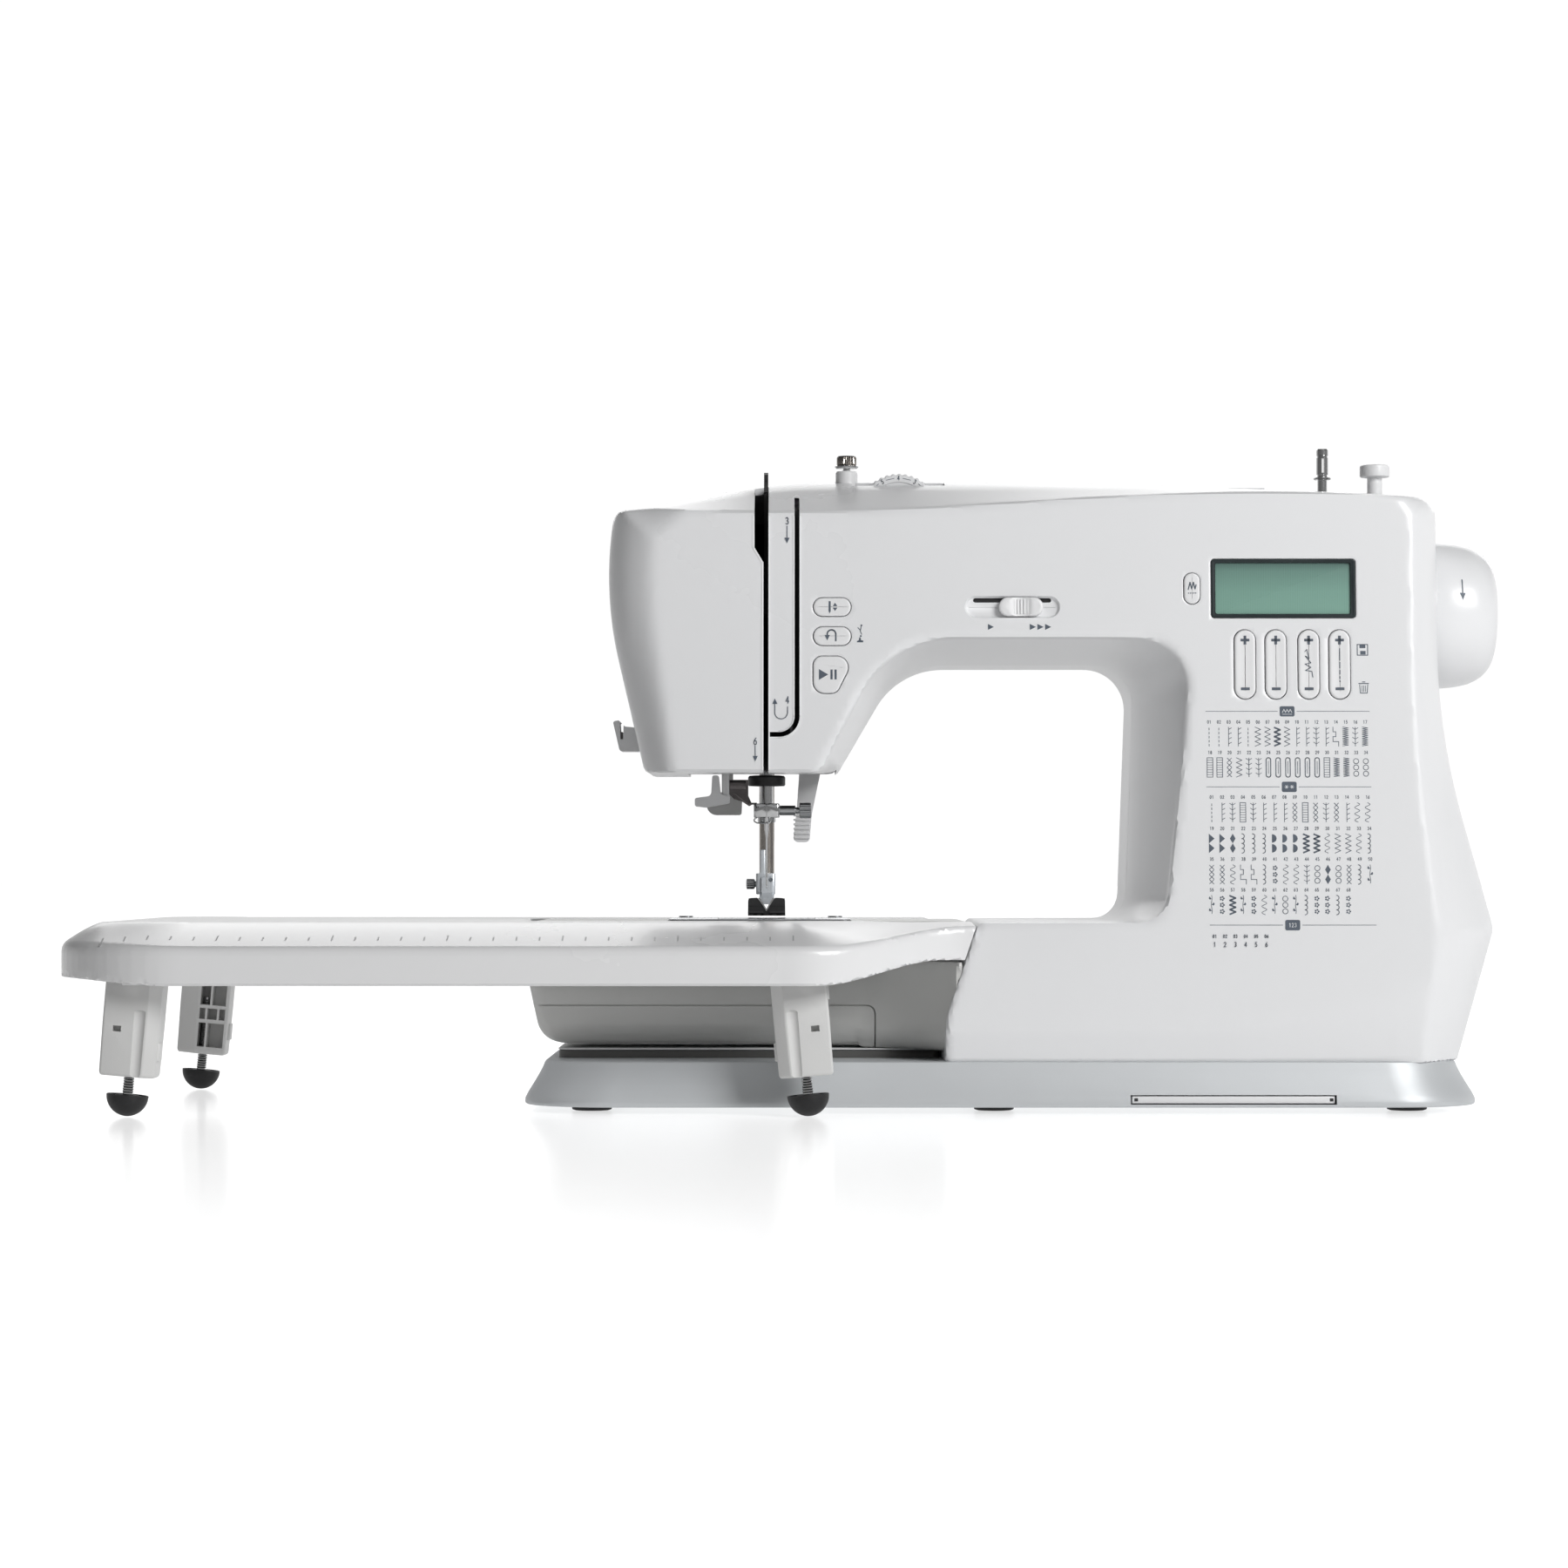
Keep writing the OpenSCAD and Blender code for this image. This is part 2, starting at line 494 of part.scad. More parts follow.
// Snap-on zigzag foot
module presser_foot() color([0.08, 0.08, 0.08]) difference() {
    union() {
        box([-20.6, -28, 86.4], [-3.4, 4, 88.2]);
        for (s = [0, 1]) box([-20.6 + s * 13.4, -18, 88], [-16.8 + s * 13.4, 1, 94.2]);
    }
    rod_x(-22, -2, bar_y - 11, 92.8, 1.25);
    translate([needle_x, -19, 80]) linear_extrude(20) pill(9.6, 3.4);
    box([needle_x - 1.2, -30, 80], [needle_x + 1.2, -18, 90]);
    box([-18.2, -12.6, 80], [-5.8, -5.6, 90]);
}
module presser_lifter() color([0.9, 0.9, 0.88]) difference() {
    through_y(20, 26) union() {
        translate(lifter) circle(5.6);
        polygon([[2.4, 135], [9.2, 133], [14.4, 160], [4.2, 163]]);
        polygon(rounded([[0, 120.4, 1.5], [8.4, 120.4, 1.5], [9.4, 136, 2], [1.6, 137, 2]], 4));
    }
    rod_y(10, 40, lifter.x, lifter.y, 2.05);
}
module needle_threader() color([0.88, 0.88, 0.86]) {
    box([-32.6, -27, 140], [-29, -23, 205]);
    box([-45, -28, 136.8], [-29, -22, 141]);
    box([-29.2, -27, 143], [-20, -24, 149]);
    box([-24, -27, 136.6], [-20, -25.6, 144]);
    rod_x(-20, -16.5, -26.4, 138, 0.5);
}
module buttonhole_lever() color([0.85, 0.85, 0.83]) {
    through_y(28, 30) polygon(rounded([[-40, 134, 4.8], [-24, 134, 1], [-24, 144, 1], [-40, 144, 4.8]], 5));
    box([-33, 28, 143], [-28, 30, 200]);
}

// ---- controls and thread path ----

module tension_dial() color([0.93, 0.93, 0.94]) difference() {
    rod_y(dial_y[0], dial_y[1], dial_x, dial_z, dial_r);
    rod_y(dial_y[0] - 1, dial_y[1] + 1, dial_x, dial_z, 2.05);
    for (i = [0:39]) translate([dial_x, dial_y[0] - 1, dial_z]) rotate([0, i * 9, 0])
        translate([dial_r - 0.8, 0, -0.7]) cube([2, 10, 1.4]);
}
module winder_tension() color([0.5, 0.48, 0.48]) {
    rod_z(277, 293, 24.6, -40, 3.2);
    rod_z(277, 281, 24.6, -40, 5);
    rod_z(286.1, 289.4, 24.6, -40, 5);
    rod_z(291.4, 292.1, 24.6, -40, 5.4);
    rod_z(292.1, 296.4, 24.6, -40, 4.5);
}
module winder_spindle() color([0.75, 0.75, 0.78]) {
    rod_z(288.6, 300.6, winder_x, winder_y, 2.7);
    rod_z(266, 288.7, winder_x, winder_y, 2.2);
    rod_z(286.2, 287.4, winder_x, winder_y, 4);
    rod_z(264, 268, winder_x, winder_y, 9);
}
module bobbin_stopper() color([0.9, 0.9, 0.9]) {
    rod_z(274, 288, 268.2, winder_y, 3.4);
    rod_z(287.4, 293, 266.4, winder_y, 6.8);
}
module spool_pin() color([0.9, 0.9, 0.88]) {
    rod_x(128, 213, 14, 274, 2.9);
    rod_x(206, 209, 14, 274, 11);
    box([209, 6, 262], [215, 22, 278]);
}
module thread_cutter() color([0.75, 0.76, 0.77])
    through_y(-48, -30) difference() {
        polygon([[-82, 175.2], [-78.6, 161.6], [-69.39, 161.6], [-71.94, 172.4], [-78.2, 172.6], [-79.4, 175.2]]);
        polygon([[-77.6, 169.6], [-76.6, 169.6], [-77.2, 174], [-79, 174]]);
    }
module feed_dog() color([0.7, 0.7, 0.72]) {
    for (s = [-1, 1]) {
        box([needle_x + s * feed_x - 1.1, -27, 81.8], [needle_x + s * feed_x + 1.1, -1, 83.4]);
        for (i = [0:12]) box([needle_x + s * feed_x - 1.1, -27 + 2 * i, 83.3], [needle_x + s * feed_x + 1.1, -26 + 2 * i, 84.4]);
        box([needle_x + s * feed_x - 1.1, -9, 78], [needle_x + s * feed_x + 1.1, -1, 82]);
    }
    box([-21, -9, 72], [-3, 8, 78.2]);
}
// Push button through the panel, with a flange behind it that keeps it in
module push_button(x, z) color([0.95, 0.95, 0.95]) on_face(x, z) {
    translate([0, 0, -4.4]) linear_extrude(5) children(0);
    translate([0, 0, -5.4]) linear_extrude(1.2) children(1);
}
module needle_button() push_button(button_spots[0][0], button_spots[0][1]) { pill(16.6, 8.1); pill(18.6, 9.8); }
module reverse_button() push_button(button_spots[1][0], button_spots[1][1]) { pill(16.6, 8.1); pill(18.6, 9.8); }
module start_button() push_button(16.7, 194.2) { start_shape(0); start_shape(0.6); }
module mode_button() push_button(177.4, 232.7) { pill(7, 13.7); pill(8.6, 15.3); }
module key(i) color([0.95, 0.95, 0.95]) on_face(key_xs[i], key_z) {
    translate([0, 0, -4.4]) linear_extrude(5) pill(9.2, 30.7);
    translate([-4.4, 0, -4.6]) rotate([0, 90, 0]) cylinder(h = 8.8, r = 1.2);
}
module speed_slider() color([0.95, 0.95, 0.95]) {
    on_face(slider_x, 224.4) translate([0, 0, -1.3]) linear_extrude(3.4) pill(19.8, 8.3);
    on_face(slider_x, 227.6) translate([-2, -0.7, -8]) cube([4, 1.4, 7]);
}
module power_switch() color([0.1, 0.1, 0.1]) {
    along_x(290.5, 295) translate([11.5, 50.5]) square([19, 11]);
    rod_y(11.5, 30.5, 291.2, 56, 1.5);
}
module carry_handle() color([0.86, 0.86, 0.86]) difference() {
    union() {
        for (x = [30.4, 145.6]) {
            rod_x(x, x + 6, 56, 266, 5.4);
            box([x, 52.6, 216], [x + 6, 59, 266]);
        }
        box([30.4, 51.6, 210], [151.6, 60.4, 220]);
        rod_x(24, 36, 56, 266, 2.5);
        rod_x(146, 158, 56, 266, 2.5);
    }
}
module casing_screws() color([0.6, 0.6, 0.62]) {
    for (s = rear_screws) rod_y(s[2] - 14, s[2] - 0.8, s[0], s[1], 2);
    for (x = [-50, 20]) {
        rod_z(bed_z - 8, bed_z + 0.3, x, 20, 2);
        rod_z(bed_z + 0.3, bed_z + 1, x, 20, 3.4);
    }
}

// ---- extension table ----

// Profile of the crowned top in y, z, and in x, z
slope_y = [[-table_half, 40, 0], [table_half, 40, 0], [table_half, rim_top, 3],
    [table_half - 26, rim_top + 7, 60], [table_half - 52, bed_z, 60], [-table_half + 52, bed_z, 60],
    [-table_half + 26, rim_top + 7, 60], [-table_half, rim_top, 3]];
slope_x = [[table_left, 40, 0], [90, 40, 0], [90, bed_z, 0], [table_left + 50, bed_z, 60],
    [table_left + 24, rim_top + 7.5, 60], [table_left, rim_top + 1, 3]];
module table_body(d, z0) intersection() {
    translate([0, 0, z0]) linear_extrude(60) polygon(rounded(inner(table_corners, d)));
    along_x(-330, 95) polygon(rounded(inner(slope_y, d)));
    through_y(-170, 170) polygon(rounded(inner(slope_x, d)));
}
// Hollow tray that clips round the free arm, its top crowned down to the rim
module extension_table() color([0.95, 0.95, 0.95]) {
    difference() {
        table_body(0, rim_top - 16);
        table_body(2.5, rim_top - 20);
        box([-126, -73.5, 40], [90, 43.5, bed_z - 8]);   // rim steps up round the free arm
        box([40, -140, 40], [90, -70, 67.5]);            // and at the tower
        through_y(-170, -60) polygon([[66.9, 42], [100, 42], [100, 86], [81.9, 86]]);
    }
    for (s = leg_spots) {
        intersection() {
            table_body(1, leg_pivot_z - 4);
            for (w = [-15, 12.6]) box([s[0] - 5, s[1] + w, 40], [s[0] + 5, s[1] + w + 2.4, 90]);
        }
        rod_y(s[1] - 14, s[1] + 14, s[0], leg_pivot_z, 2);
    }
}
// Folding leg: a splayed block with a blind hole for its screw foot
module leg(i) color([0.9, 0.9, 0.88]) translate([leg_spots[i][0], leg_spots[i][1], leg_pivot_z])
    rotate([0, -leg_spots[i][2] * splay, 0]) difference() {
        union() {
            box([-leg_half, -11.5, -43.5], [leg_half, 11.5, 3]);
            rod_y(-11.5, 11.5, 0, 0, 7);
        }
        rod_y(-20, 20, 0, 0, 2.35);
        rod_z(-50, -8, 0, 0, 2.85);
        box([-9.5, leg_spots[i][1] < 0 ? 3.6 : -20, -40], [9.5, leg_spots[i][1] < 0 ? 20 : -3.6, -27]);
        box([-9.5, leg_spots[i][1] < 0 ? 3.6 : -20, -21], [9.5, leg_spots[i][1] < 0 ? 20 : -3.6, -8]);
        translate([leg_spots[i][2] * -4, leg_spots[i][1] < 0 ? -12 : 12, -22]) cube([5, 2, 3.6], center = true);
    }
// Screw foot: steel stud in a half-round rubber cap
module leg_foot(i) color([0.06, 0.06, 0.06]) intersection() {
    translate([leg_spots[i][0], leg_spots[i][1], leg_pivot_z]) rotate([0, -leg_spots[i][2] * splay, 0]) {
        rod_z(-56, -15.5, 0, 0, 2.5);
        difference() {
            translate([0, 0, -52]) sphere(9.2, $fn = 64);
            box([-12, -12, -52], [12, 12, -40]);
        }
    }
    box([-400, -200, 0], [400, 200, 100]);
}

base();
base_feet();
chassis();
front_cover();
rear_cover();
face_cover();
tension_unit();
free_arm_cover();
needle_plate();
lcd_window();
display_board();
drive_belts();
motors();
winder_tension();
thread_cutter();
spool_pin();
bobbin_stopper();
casing_screws();
main_shaft();
handwheel();
lower_shaft();
motor_pulley();
rotary_hook();
bobbin();
needle_bar_frame();
needle_bar();
needle_clamp();
needle();
take_up_lever();
presser_bar();
foot_holder();
presser_foot();
presser_lifter();
needle_threader();
buttonhole_lever();
tension_dial();
winder_spindle();
feed_dog();
bobbin_cover();
needle_button();
reverse_button();
start_button();
mode_button();
key(0);  // key_1
key(1);  // key_2
key(2);  // key_3
key(3);  // key_4
speed_slider();
power_switch();
carry_handle();
extension_table();
leg(0);  // leg_1
leg(1);  // leg_2
leg(2);  // leg_3
leg(3);  // leg_4
leg_foot(0);  // leg_foot_1
leg_foot(1);  // leg_foot_2
leg_foot(2);  // leg_foot_3
leg_foot(3);  // leg_foot_4
reference_tray();
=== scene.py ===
import math

import bpy
import bmesh
import numpy as np
from mathutils import Matrix, Vector


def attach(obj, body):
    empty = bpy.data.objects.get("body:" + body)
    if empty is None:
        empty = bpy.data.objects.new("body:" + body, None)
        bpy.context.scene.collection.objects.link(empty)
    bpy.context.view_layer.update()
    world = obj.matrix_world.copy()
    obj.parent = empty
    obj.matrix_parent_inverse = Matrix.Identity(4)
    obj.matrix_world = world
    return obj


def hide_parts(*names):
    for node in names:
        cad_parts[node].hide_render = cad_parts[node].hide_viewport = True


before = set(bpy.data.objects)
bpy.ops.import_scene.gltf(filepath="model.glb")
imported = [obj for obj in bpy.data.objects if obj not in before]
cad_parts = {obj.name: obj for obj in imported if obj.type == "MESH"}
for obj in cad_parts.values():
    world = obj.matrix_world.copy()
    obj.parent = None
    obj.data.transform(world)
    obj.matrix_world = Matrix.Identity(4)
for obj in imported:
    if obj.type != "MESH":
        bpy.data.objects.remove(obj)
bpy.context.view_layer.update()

MM = 0.001
# the front view: a square layout sheet, its focal length in the same units, and the eye's place in mm
SHEET, FOCAL, HORIZON_SHIFT = 1800, 5202, 100
VIEW_X, VIEW_Y, VIEW_Z = 4, 2110, 107
SENSOR = 36
# places of shafts and parts, in mm
NEEDLE_X, NEEDLE_Y, NEEDLE_BAR_Y, PRESSER_Y = -12, -19, -15, 2
WHEEL_Y, WHEEL_Z = -15, 225
DIAL_X, DIAL_Z = 48, 268.8
TOP_POST, WINDER, STOPPER = (24.6, -40, 0), (242.8, -32, 0), (266.8, -32, 0)
HANDLE_PIVOT = (56, 266)
LEG_PIVOT_Z = 61
PLATE_TOP = 85.3

# ---------------------------------------------------------------- outlines


def rounded(corners, n=14):
    """Points of a closed outline with each corner [x, y, radius] rounded."""
    pts = []
    m = len(corners)
    for i in range(m):
        a, b, c = (np.array(corners[j % m][:2], float) for j in (i - 1, i, i + 1))
        r = corners[i][2]
        if r <= 0:
            pts.append(b)
            continue
        u = (a - b) / np.linalg.norm(a - b)
        w = (c - b) / np.linalg.norm(c - b)
        half = math.acos(max(-1, min(1, u @ w))) / 2
        mid = (u + w) / np.linalg.norm(u + w)
        centre = b + mid * r / math.sin(half)
        start = b + u * r / math.tan(half) - centre
        t0 = math.atan2(start[1], start[0])
        turn = (1 if u[0] * w[1] - u[1] * w[0] < 0 else -1) * (math.pi - 2 * half)
        for k in range(n + 1):
            t = t0 + turn * k / n
            pts.append(centre + r * np.array([math.cos(t), math.sin(t)]))
    return np.array(pts)


def inset(pts, d):
    """Closed anticlockwise outline moved inwards by d."""
    p = np.asarray(pts, float)
    a = p - np.roll(p, 1, 0)
    b = np.roll(p, -1, 0) - p
    a /= np.linalg.norm(a, axis=1)[:, None]
    b /= np.linalg.norm(b, axis=1)[:, None]
    na = np.stack([-a[:, 1], a[:, 0]], 1)
    nb = np.stack([-b[:, 1], b[:, 0]], 1)
    return p + (na + nb) * d / np.maximum(1 + (na * nb).sum(1), 0.2)[:, None]


def round_rect(x0, y0, x1, y1, r, n=14):
    return rounded([[x0, y0, r], [x1, y0, r], [x1, y1, r], [x0, y1, r]], n)


def pill(w, h, n=10):
    return round_rect(-w / 2, -h / 2, w / 2, h / 2, min(w, h) / 2 - 0.001, n)


def poly_sdf(poly, x, y):
    """Signed distance to a closed polygon, negative inside."""
    x, y = np.broadcast_arrays(np.asarray(x, float), np.asarray(y, float))
    d = np.full(x.shape, 1e18)
    s = np.ones(x.shape)
    m = len(poly)
    for i in range(m):
        ax, ay = poly[i]
        bx, by = poly[i - 1]
        ex, ey = bx - ax, by - ay
        if ex * ex + ey * ey < 1e-12:
            continue
        wx, wy = x - ax, y - ay
        t = np.clip((wx * ex + wy * ey) / (ex * ex + ey * ey), 0, 1)
        d = np.minimum(d, (wx - ex * t) ** 2 + (wy - ey * t) ** 2)
        c1, c2, c3 = y >= ay, y < by, ex * wy > ey * wx
        flip = (c1 & c2 & c3) | (~c1 & ~c2 & ~c3)
        s = np.where(flip, -s, s)
    return s * np.sqrt(d)


def round_max(a, b, r):
    """Where both fields meet, the edge is rounded with radius r."""
    return np.minimum(np.maximum(a, b), -r) + np.sqrt(np.maximum(a + r, 0) ** 2 + np.maximum(b + r, 0) ** 2)


def soft_max(a, b, k):
    h = np.maximum(k - np.abs(a - b), 0) / k
    return np.maximum(a, b) + h * h * k / 4


def smoothstep(lo, hi, x):
    t = np.clip((x - lo) / (hi - lo), 0, 1)
    return t * t * (3 - 2 * t)


def surface(field, lo, hi, h, name, polish=3):
    """Closed mesh of the surface where the field is nought."""
    lo, hi = np.array(lo, float), np.array(hi, float)
    n = np.ceil((hi - lo) / h).astype(int) + 1
    ax = [lo[i] + h * np.arange(n[i]) for i in range(3)]
    f = field(ax[0][:, None, None], ax[1][None, :, None], ax[2][None, None, :])
    f = np.broadcast_to(f, tuple(n)).astype(np.float64)
    inside = f < 0
    c = inside.astype(np.int8)
    cnt = sum(c[i:n[0] - 1 + i, j:n[1] - 1 + j, k:n[2] - 1 + k] for i in (0, 1) for j in (0, 1) for k in (0, 1))
    I, J, K = np.nonzero((cnt > 0) & (cnt < 8))
    index = np.full(tuple(n - 1), -1, np.int64)
    index[I, J, K] = np.arange(len(I))
    pos = np.zeros((len(I), 3))
    hits = np.zeros(len(I))
    corners = [(i, j, k) for i in (0, 1) for j in (0, 1) for k in (0, 1)]
    for a in corners:
        for axis in range(3):
            if a[axis]:
                continue
            b = list(a)
            b[axis] = 1
            fa = f[I + a[0], J + a[1], K + a[2]]
            fb = f[I + b[0], J + b[1], K + b[2]]
            cross = (fa < 0) != (fb < 0)
            t = np.where(cross, fa / np.where(cross, fa - fb, 1), 0)
            p = np.tile(np.array(a, float), (len(I), 1))
            p[:, axis] += t
            pos += p * cross[:, None]
            hits += cross
    pos = (pos / hits[:, None] + np.stack([I, J, K], 1)) * h + lo
    for _ in range(polish):
        x, y, z = pos.T
        f0 = field(x, y, z)
        e = 0.05
        g = np.stack([field(x + e, y, z) - f0, field(x, y + e, z) - f0, field(x, y, z + e) - f0], 1) / e
        step = g * (f0 / np.maximum((g * g).sum(1), 0.25))[:, None]
        pos -= np.clip(step, -h * 0.6, h * 0.6)
    faces = []
    for axis in range(3):
        o1, o2 = [(1, 2), (2, 0), (0, 1)][axis]
        sl_a = [slice(None)] * 3
        sl_b = [slice(None)] * 3
        sl_a[axis] = slice(0, -1)
        sl_b[axis] = slice(1, None)
        fa, fb = inside[tuple(sl_a)], inside[tuple(sl_b)]
        ii = np.stack(np.nonzero(fa != fb), 1)
        ok = (ii[:, o1] > 0) & (ii[:, o2] > 0) & (ii[:, o1] < n[o1] - 1) & (ii[:, o2] < n[o2] - 1)
        ii = ii[ok]
        va = fa[tuple(ii.T)]

        def cell(d1, d2):
            q = ii.copy()
            q[:, o1] -= d1
            q[:, o2] -= d2
            return index[tuple(q.T)]

        quad = np.stack([cell(1, 1), cell(0, 1), cell(0, 0), cell(1, 0)], 1)
        quad[~va] = quad[~va][:, ::-1]
        faces.append(quad)
    faces = np.concatenate(faces)
    faces = faces[(faces >= 0).all(1)]
    me = bpy.data.meshes.new(name)
    me.from_pydata((pos * MM).tolist(), [], faces.tolist())
    me.update()
    return me


# ---------------------------------------------------------------- meshes and pieces


# turns that lay a shape made about z along x, along y, or upright facing the front
TURN_X = Matrix.Rotation(math.pi / 2, 4, "Y")
TURN_Y = Matrix.Rotation(-math.pi / 2, 4, "X")
TO_FRONT = Matrix.Rotation(math.pi / 2, 4, "X")


def at(x, y, z):
    return Matrix.Translation((x, y, z))


def add(name, mesh, smooth=35):
    ob = bpy.data.objects.new(name, mesh)
    bpy.context.scene.collection.objects.link(ob)
    if smooth is not None:
        shade(ob, smooth)
    return ob


def shade(ob, angle=35):
    me = ob.data
    me.shade_smooth()
    me.set_sharp_from_angle(angle=math.radians(angle))


def build(name, verts, faces, smooth=35):
    me = bpy.data.meshes.new(name)
    me.from_pydata([tuple(c * MM for c in v) for v in verts], [], faces)
    me.update()
    bm = bmesh.new()
    bm.from_mesh(me)
    bmesh.ops.remove_doubles(bm, verts=bm.verts, dist=1e-6)
    bmesh.ops.recalc_face_normals(bm, faces=bm.faces)
    bm.to_mesh(me)
    bm.free()
    return add(name, me, smooth)


def loft(name, rings, smooth=35, caps=True, place=None):
    """Closed skin through rings with the same number of points, in mm."""
    verts, faces = [], []
    n = len(rings[0])
    for ring in rings:
        verts += [tuple(p) for p in ring]
    for k in range(len(rings) - 1):
        for i in range(n):
            j = (i + 1) % n
            faces.append((k * n + i, k * n + j, (k + 1) * n + j, (k + 1) * n + i))
    if caps:
        faces.append(tuple(reversed(range(n))))
        faces.append(tuple((len(rings) - 1) * n + i for i in range(n)))
    if place is not None:
        verts = [tuple(place @ Vector(v)) for v in verts]
    return build(name, verts, faces, smooth)


def pad(name, outline, profile, place=None, smooth=35):
    """Slab with a shaped edge: profile is a list of (inset, height) from the bottom to the top."""
    rings = [[(p[0], p[1], z) for p in inset(outline, d)] for d, z in profile]
    return loft(name, rings, smooth, True, place)


def prism(name, outline, lo, hi, axis="y"):
    """Closed prism of an outline in the two other axes, in mm."""
    n = len(outline)
    if axis == "y":
        verts = [(p[0], y, p[1]) for y in (lo, hi) for p in outline]
    elif axis == "x":
        verts = [(x, p[0], p[1]) for x in (lo, hi) for p in outline]
    else:
        verts = [(p[0], p[1], z) for z in (lo, hi) for p in outline]
    faces = [tuple(range(n)), tuple(range(2 * n - 1, n - 1, -1))]
    faces += [(i, n + i, n + (i + 1) % n, (i + 1) % n) for i in range(n)]
    return build(name, verts, faces, None)


def box(name, lo, hi):
    v = [(x, y, z) for x in (lo[0], hi[0]) for y in (lo[1], hi[1]) for z in (lo[2], hi[2])]
    f = [(0, 1, 3, 2), (4, 6, 7, 5), (0, 4, 5, 1), (2, 3, 7, 6), (0, 2, 6, 4), (1, 5, 7, 3)]
    return build(name, v, f, None)


def lathe(name, profile, n=64, place=None, smooth=35):
    """Solid of revolution about z of (radius, z) points; radii of 0 close it."""
    verts, faces = [], []
    rows = []
    for r, z in profile:
        if r < 1e-6:
            rows.append([len(verts)])
            verts.append((0, 0, z))
        else:
            rows.append(list(range(len(verts), len(verts) + n)))
            verts += [(r * math.cos(2 * math.pi * i / n), r * math.sin(2 * math.pi * i / n),
                z) for i in range(n)]
    for a, b in zip(rows, rows[1:]):
        for i in range(n):
            j = (i + 1) % n
            q = [a[i % len(a)], a[j % len(a)], b[j % len(b)], b[i % len(b)]]
            q = list(dict.fromkeys(q))
            if len(q) > 2:
                faces.append(tuple(q))
    if place is not None:
        verts = [tuple(place @ Vector(v)) for v in verts]
    return build(name, verts, faces, smooth)


def drum(r, lo, hi, n=32, place=None, smooth=35):
    return lathe("drum", [(0, lo), (r, lo), (r, hi), (0, hi)], n, place, smooth)


def boolean(ob, cutters, op="DIFFERENCE"):
    """Applies each cutter to ob and removes the cutter."""
    cutters = cutters if isinstance(cutters, (list, tuple)) else [cutters]
    for c in cutters:
        m = ob.modifiers.new("b", "BOOLEAN")
        m.operation = op
        m.solver = "MANIFOLD"
        m.object = c
    bpy.context.view_layer.update()
    deps = bpy.context.evaluated_depsgraph_get()
    me = bpy.data.meshes.new_from_object(ob.evaluated_get(deps), depsgraph=deps)
    ob.modifiers.clear()
    old = ob.data
    ob.data = me
    bpy.data.meshes.remove(old)
    for c in cutters:
        bpy.data.objects.remove(c)
    return ob


def copy_of(ob, name):
    o = bpy.data.objects.new(name, ob.data.copy())
    bpy.context.scene.collection.objects.link(o)
    return o


def join(name, obs):
    base = bmesh.new()
    mats = []
    for o in obs:
        slot = []
        for m in o.data.materials:
            if m not in mats:
                mats.append(m)
            slot.append(mats.index(m))
        me = o.data.copy()
        me.transform(o.matrix_world)
        if slot:
            for p in me.polygons:
                p.material_index = slot[min(p.material_index, len(slot) - 1)]
        base.from_mesh(me)
        bpy.data.meshes.remove(me)
        bpy.data.objects.remove(o)
    me = bpy.data.meshes.new(name)
    base.to_mesh(me)
    base.free()
    ob = bpy.data.objects.new(name, me)
    for m in mats:
        me.materials.append(m)
    bpy.context.scene.collection.objects.link(ob)
    shade(ob, 35)
    return ob

# ---------------------------------------------------------------- the casing as a field

PARTING = -20
TILT = math.atan(17 / 192)
SLOT_L = (-13.2, -10.9)
SLOT_L_TOP = -17.2
SLOT_R = (0.7, 2.9)
PANEL_END = 168.7

SILHOUETTE = rounded([[-19.4, -50, 0], [293, -50, 0], [299.5, 22, 30], [315, 81, 9], [291.5, 168, 300],
    [291, 279.5, 14], [160, 285, 700], [-5, 286, 200], [-80.5, 272, 5], [-86, 232, 170]], 16)
VOID_FRONT = rounded([[-400, 151.2, 0], [12, 150.6, 6], [42.6, 211.4, 48], [178.4, 211.4, 21.5],
    [164.6, 84.6, 14], [82, 84.4, 3], [67.5, 42, 50], [66.8, -60, 0], [-400, -60, 0]][::-1], 16)
VOID_BACK = rounded([[-400, 151.2, 0], [20.5, 151.5, 6], [50, 202, 36], [157.2, 202, 19], [153, 85, 12],
    [82, 84.9, 3], [67.5, 42, 50], [66.8, -60, 0], [-400, -60, 0]][::-1], 16)
BACK = rounded([[-300, -60, 0], [78, -60, 0], [78, 100, 60], [50, 190, 60], [50, 400, 0], [-300, 400, 0]], 16)
CREASE = np.array([(-90, 268.2), (-79, 268), (-34.5, 267.5), (-10, 266.6), (26, 267.2), (46, 268), (73, 269.3),
    (104, 271.4), (136, 273.6), (167.5, 275), (199, 276), (230, 276), (260, 275), (300, 272)])
CROWN = np.array([(-90, 270), (-82, 271.6), (-60, 276), (-12.8, 284), (36, 285.6), (100, 285.4), (156, 284.8),
    (224, 282.6), (265, 280.6), (300, 278)])
LOWER = np.array([(60, 36), (138.6, 36.5), (190.6, 37.3), (214, 40), (236, 43.8), (257.6, 48), (275, 53.5),
    (290, 61), (305, 72), (316, 82)])


def face_y(z):
    return -109 + (z - 75) * 17 / 192


def smooth_line(table, x):
    k = np.linspace(-10, 10, 5)
    return sum(np.interp(x + d, table[:, 0], table[:, 1]) for d in k) / len(k)


def front_field(x, y, z):
    """Signed distance to the front of the casing: a leaning panel, upright low down, undercut at the foot."""
    c = math.cos(TILT)
    panel = (face_y(z) - y) * c
    upright = -109 - y + z * 0
    low = smooth_line(LOWER, x)
    under = (-109 + 5.6 * (low - z) / (low - 21) - y) * 0.94
    return soft_max(soft_max(panel, upright, 1.2), under, 0.8)


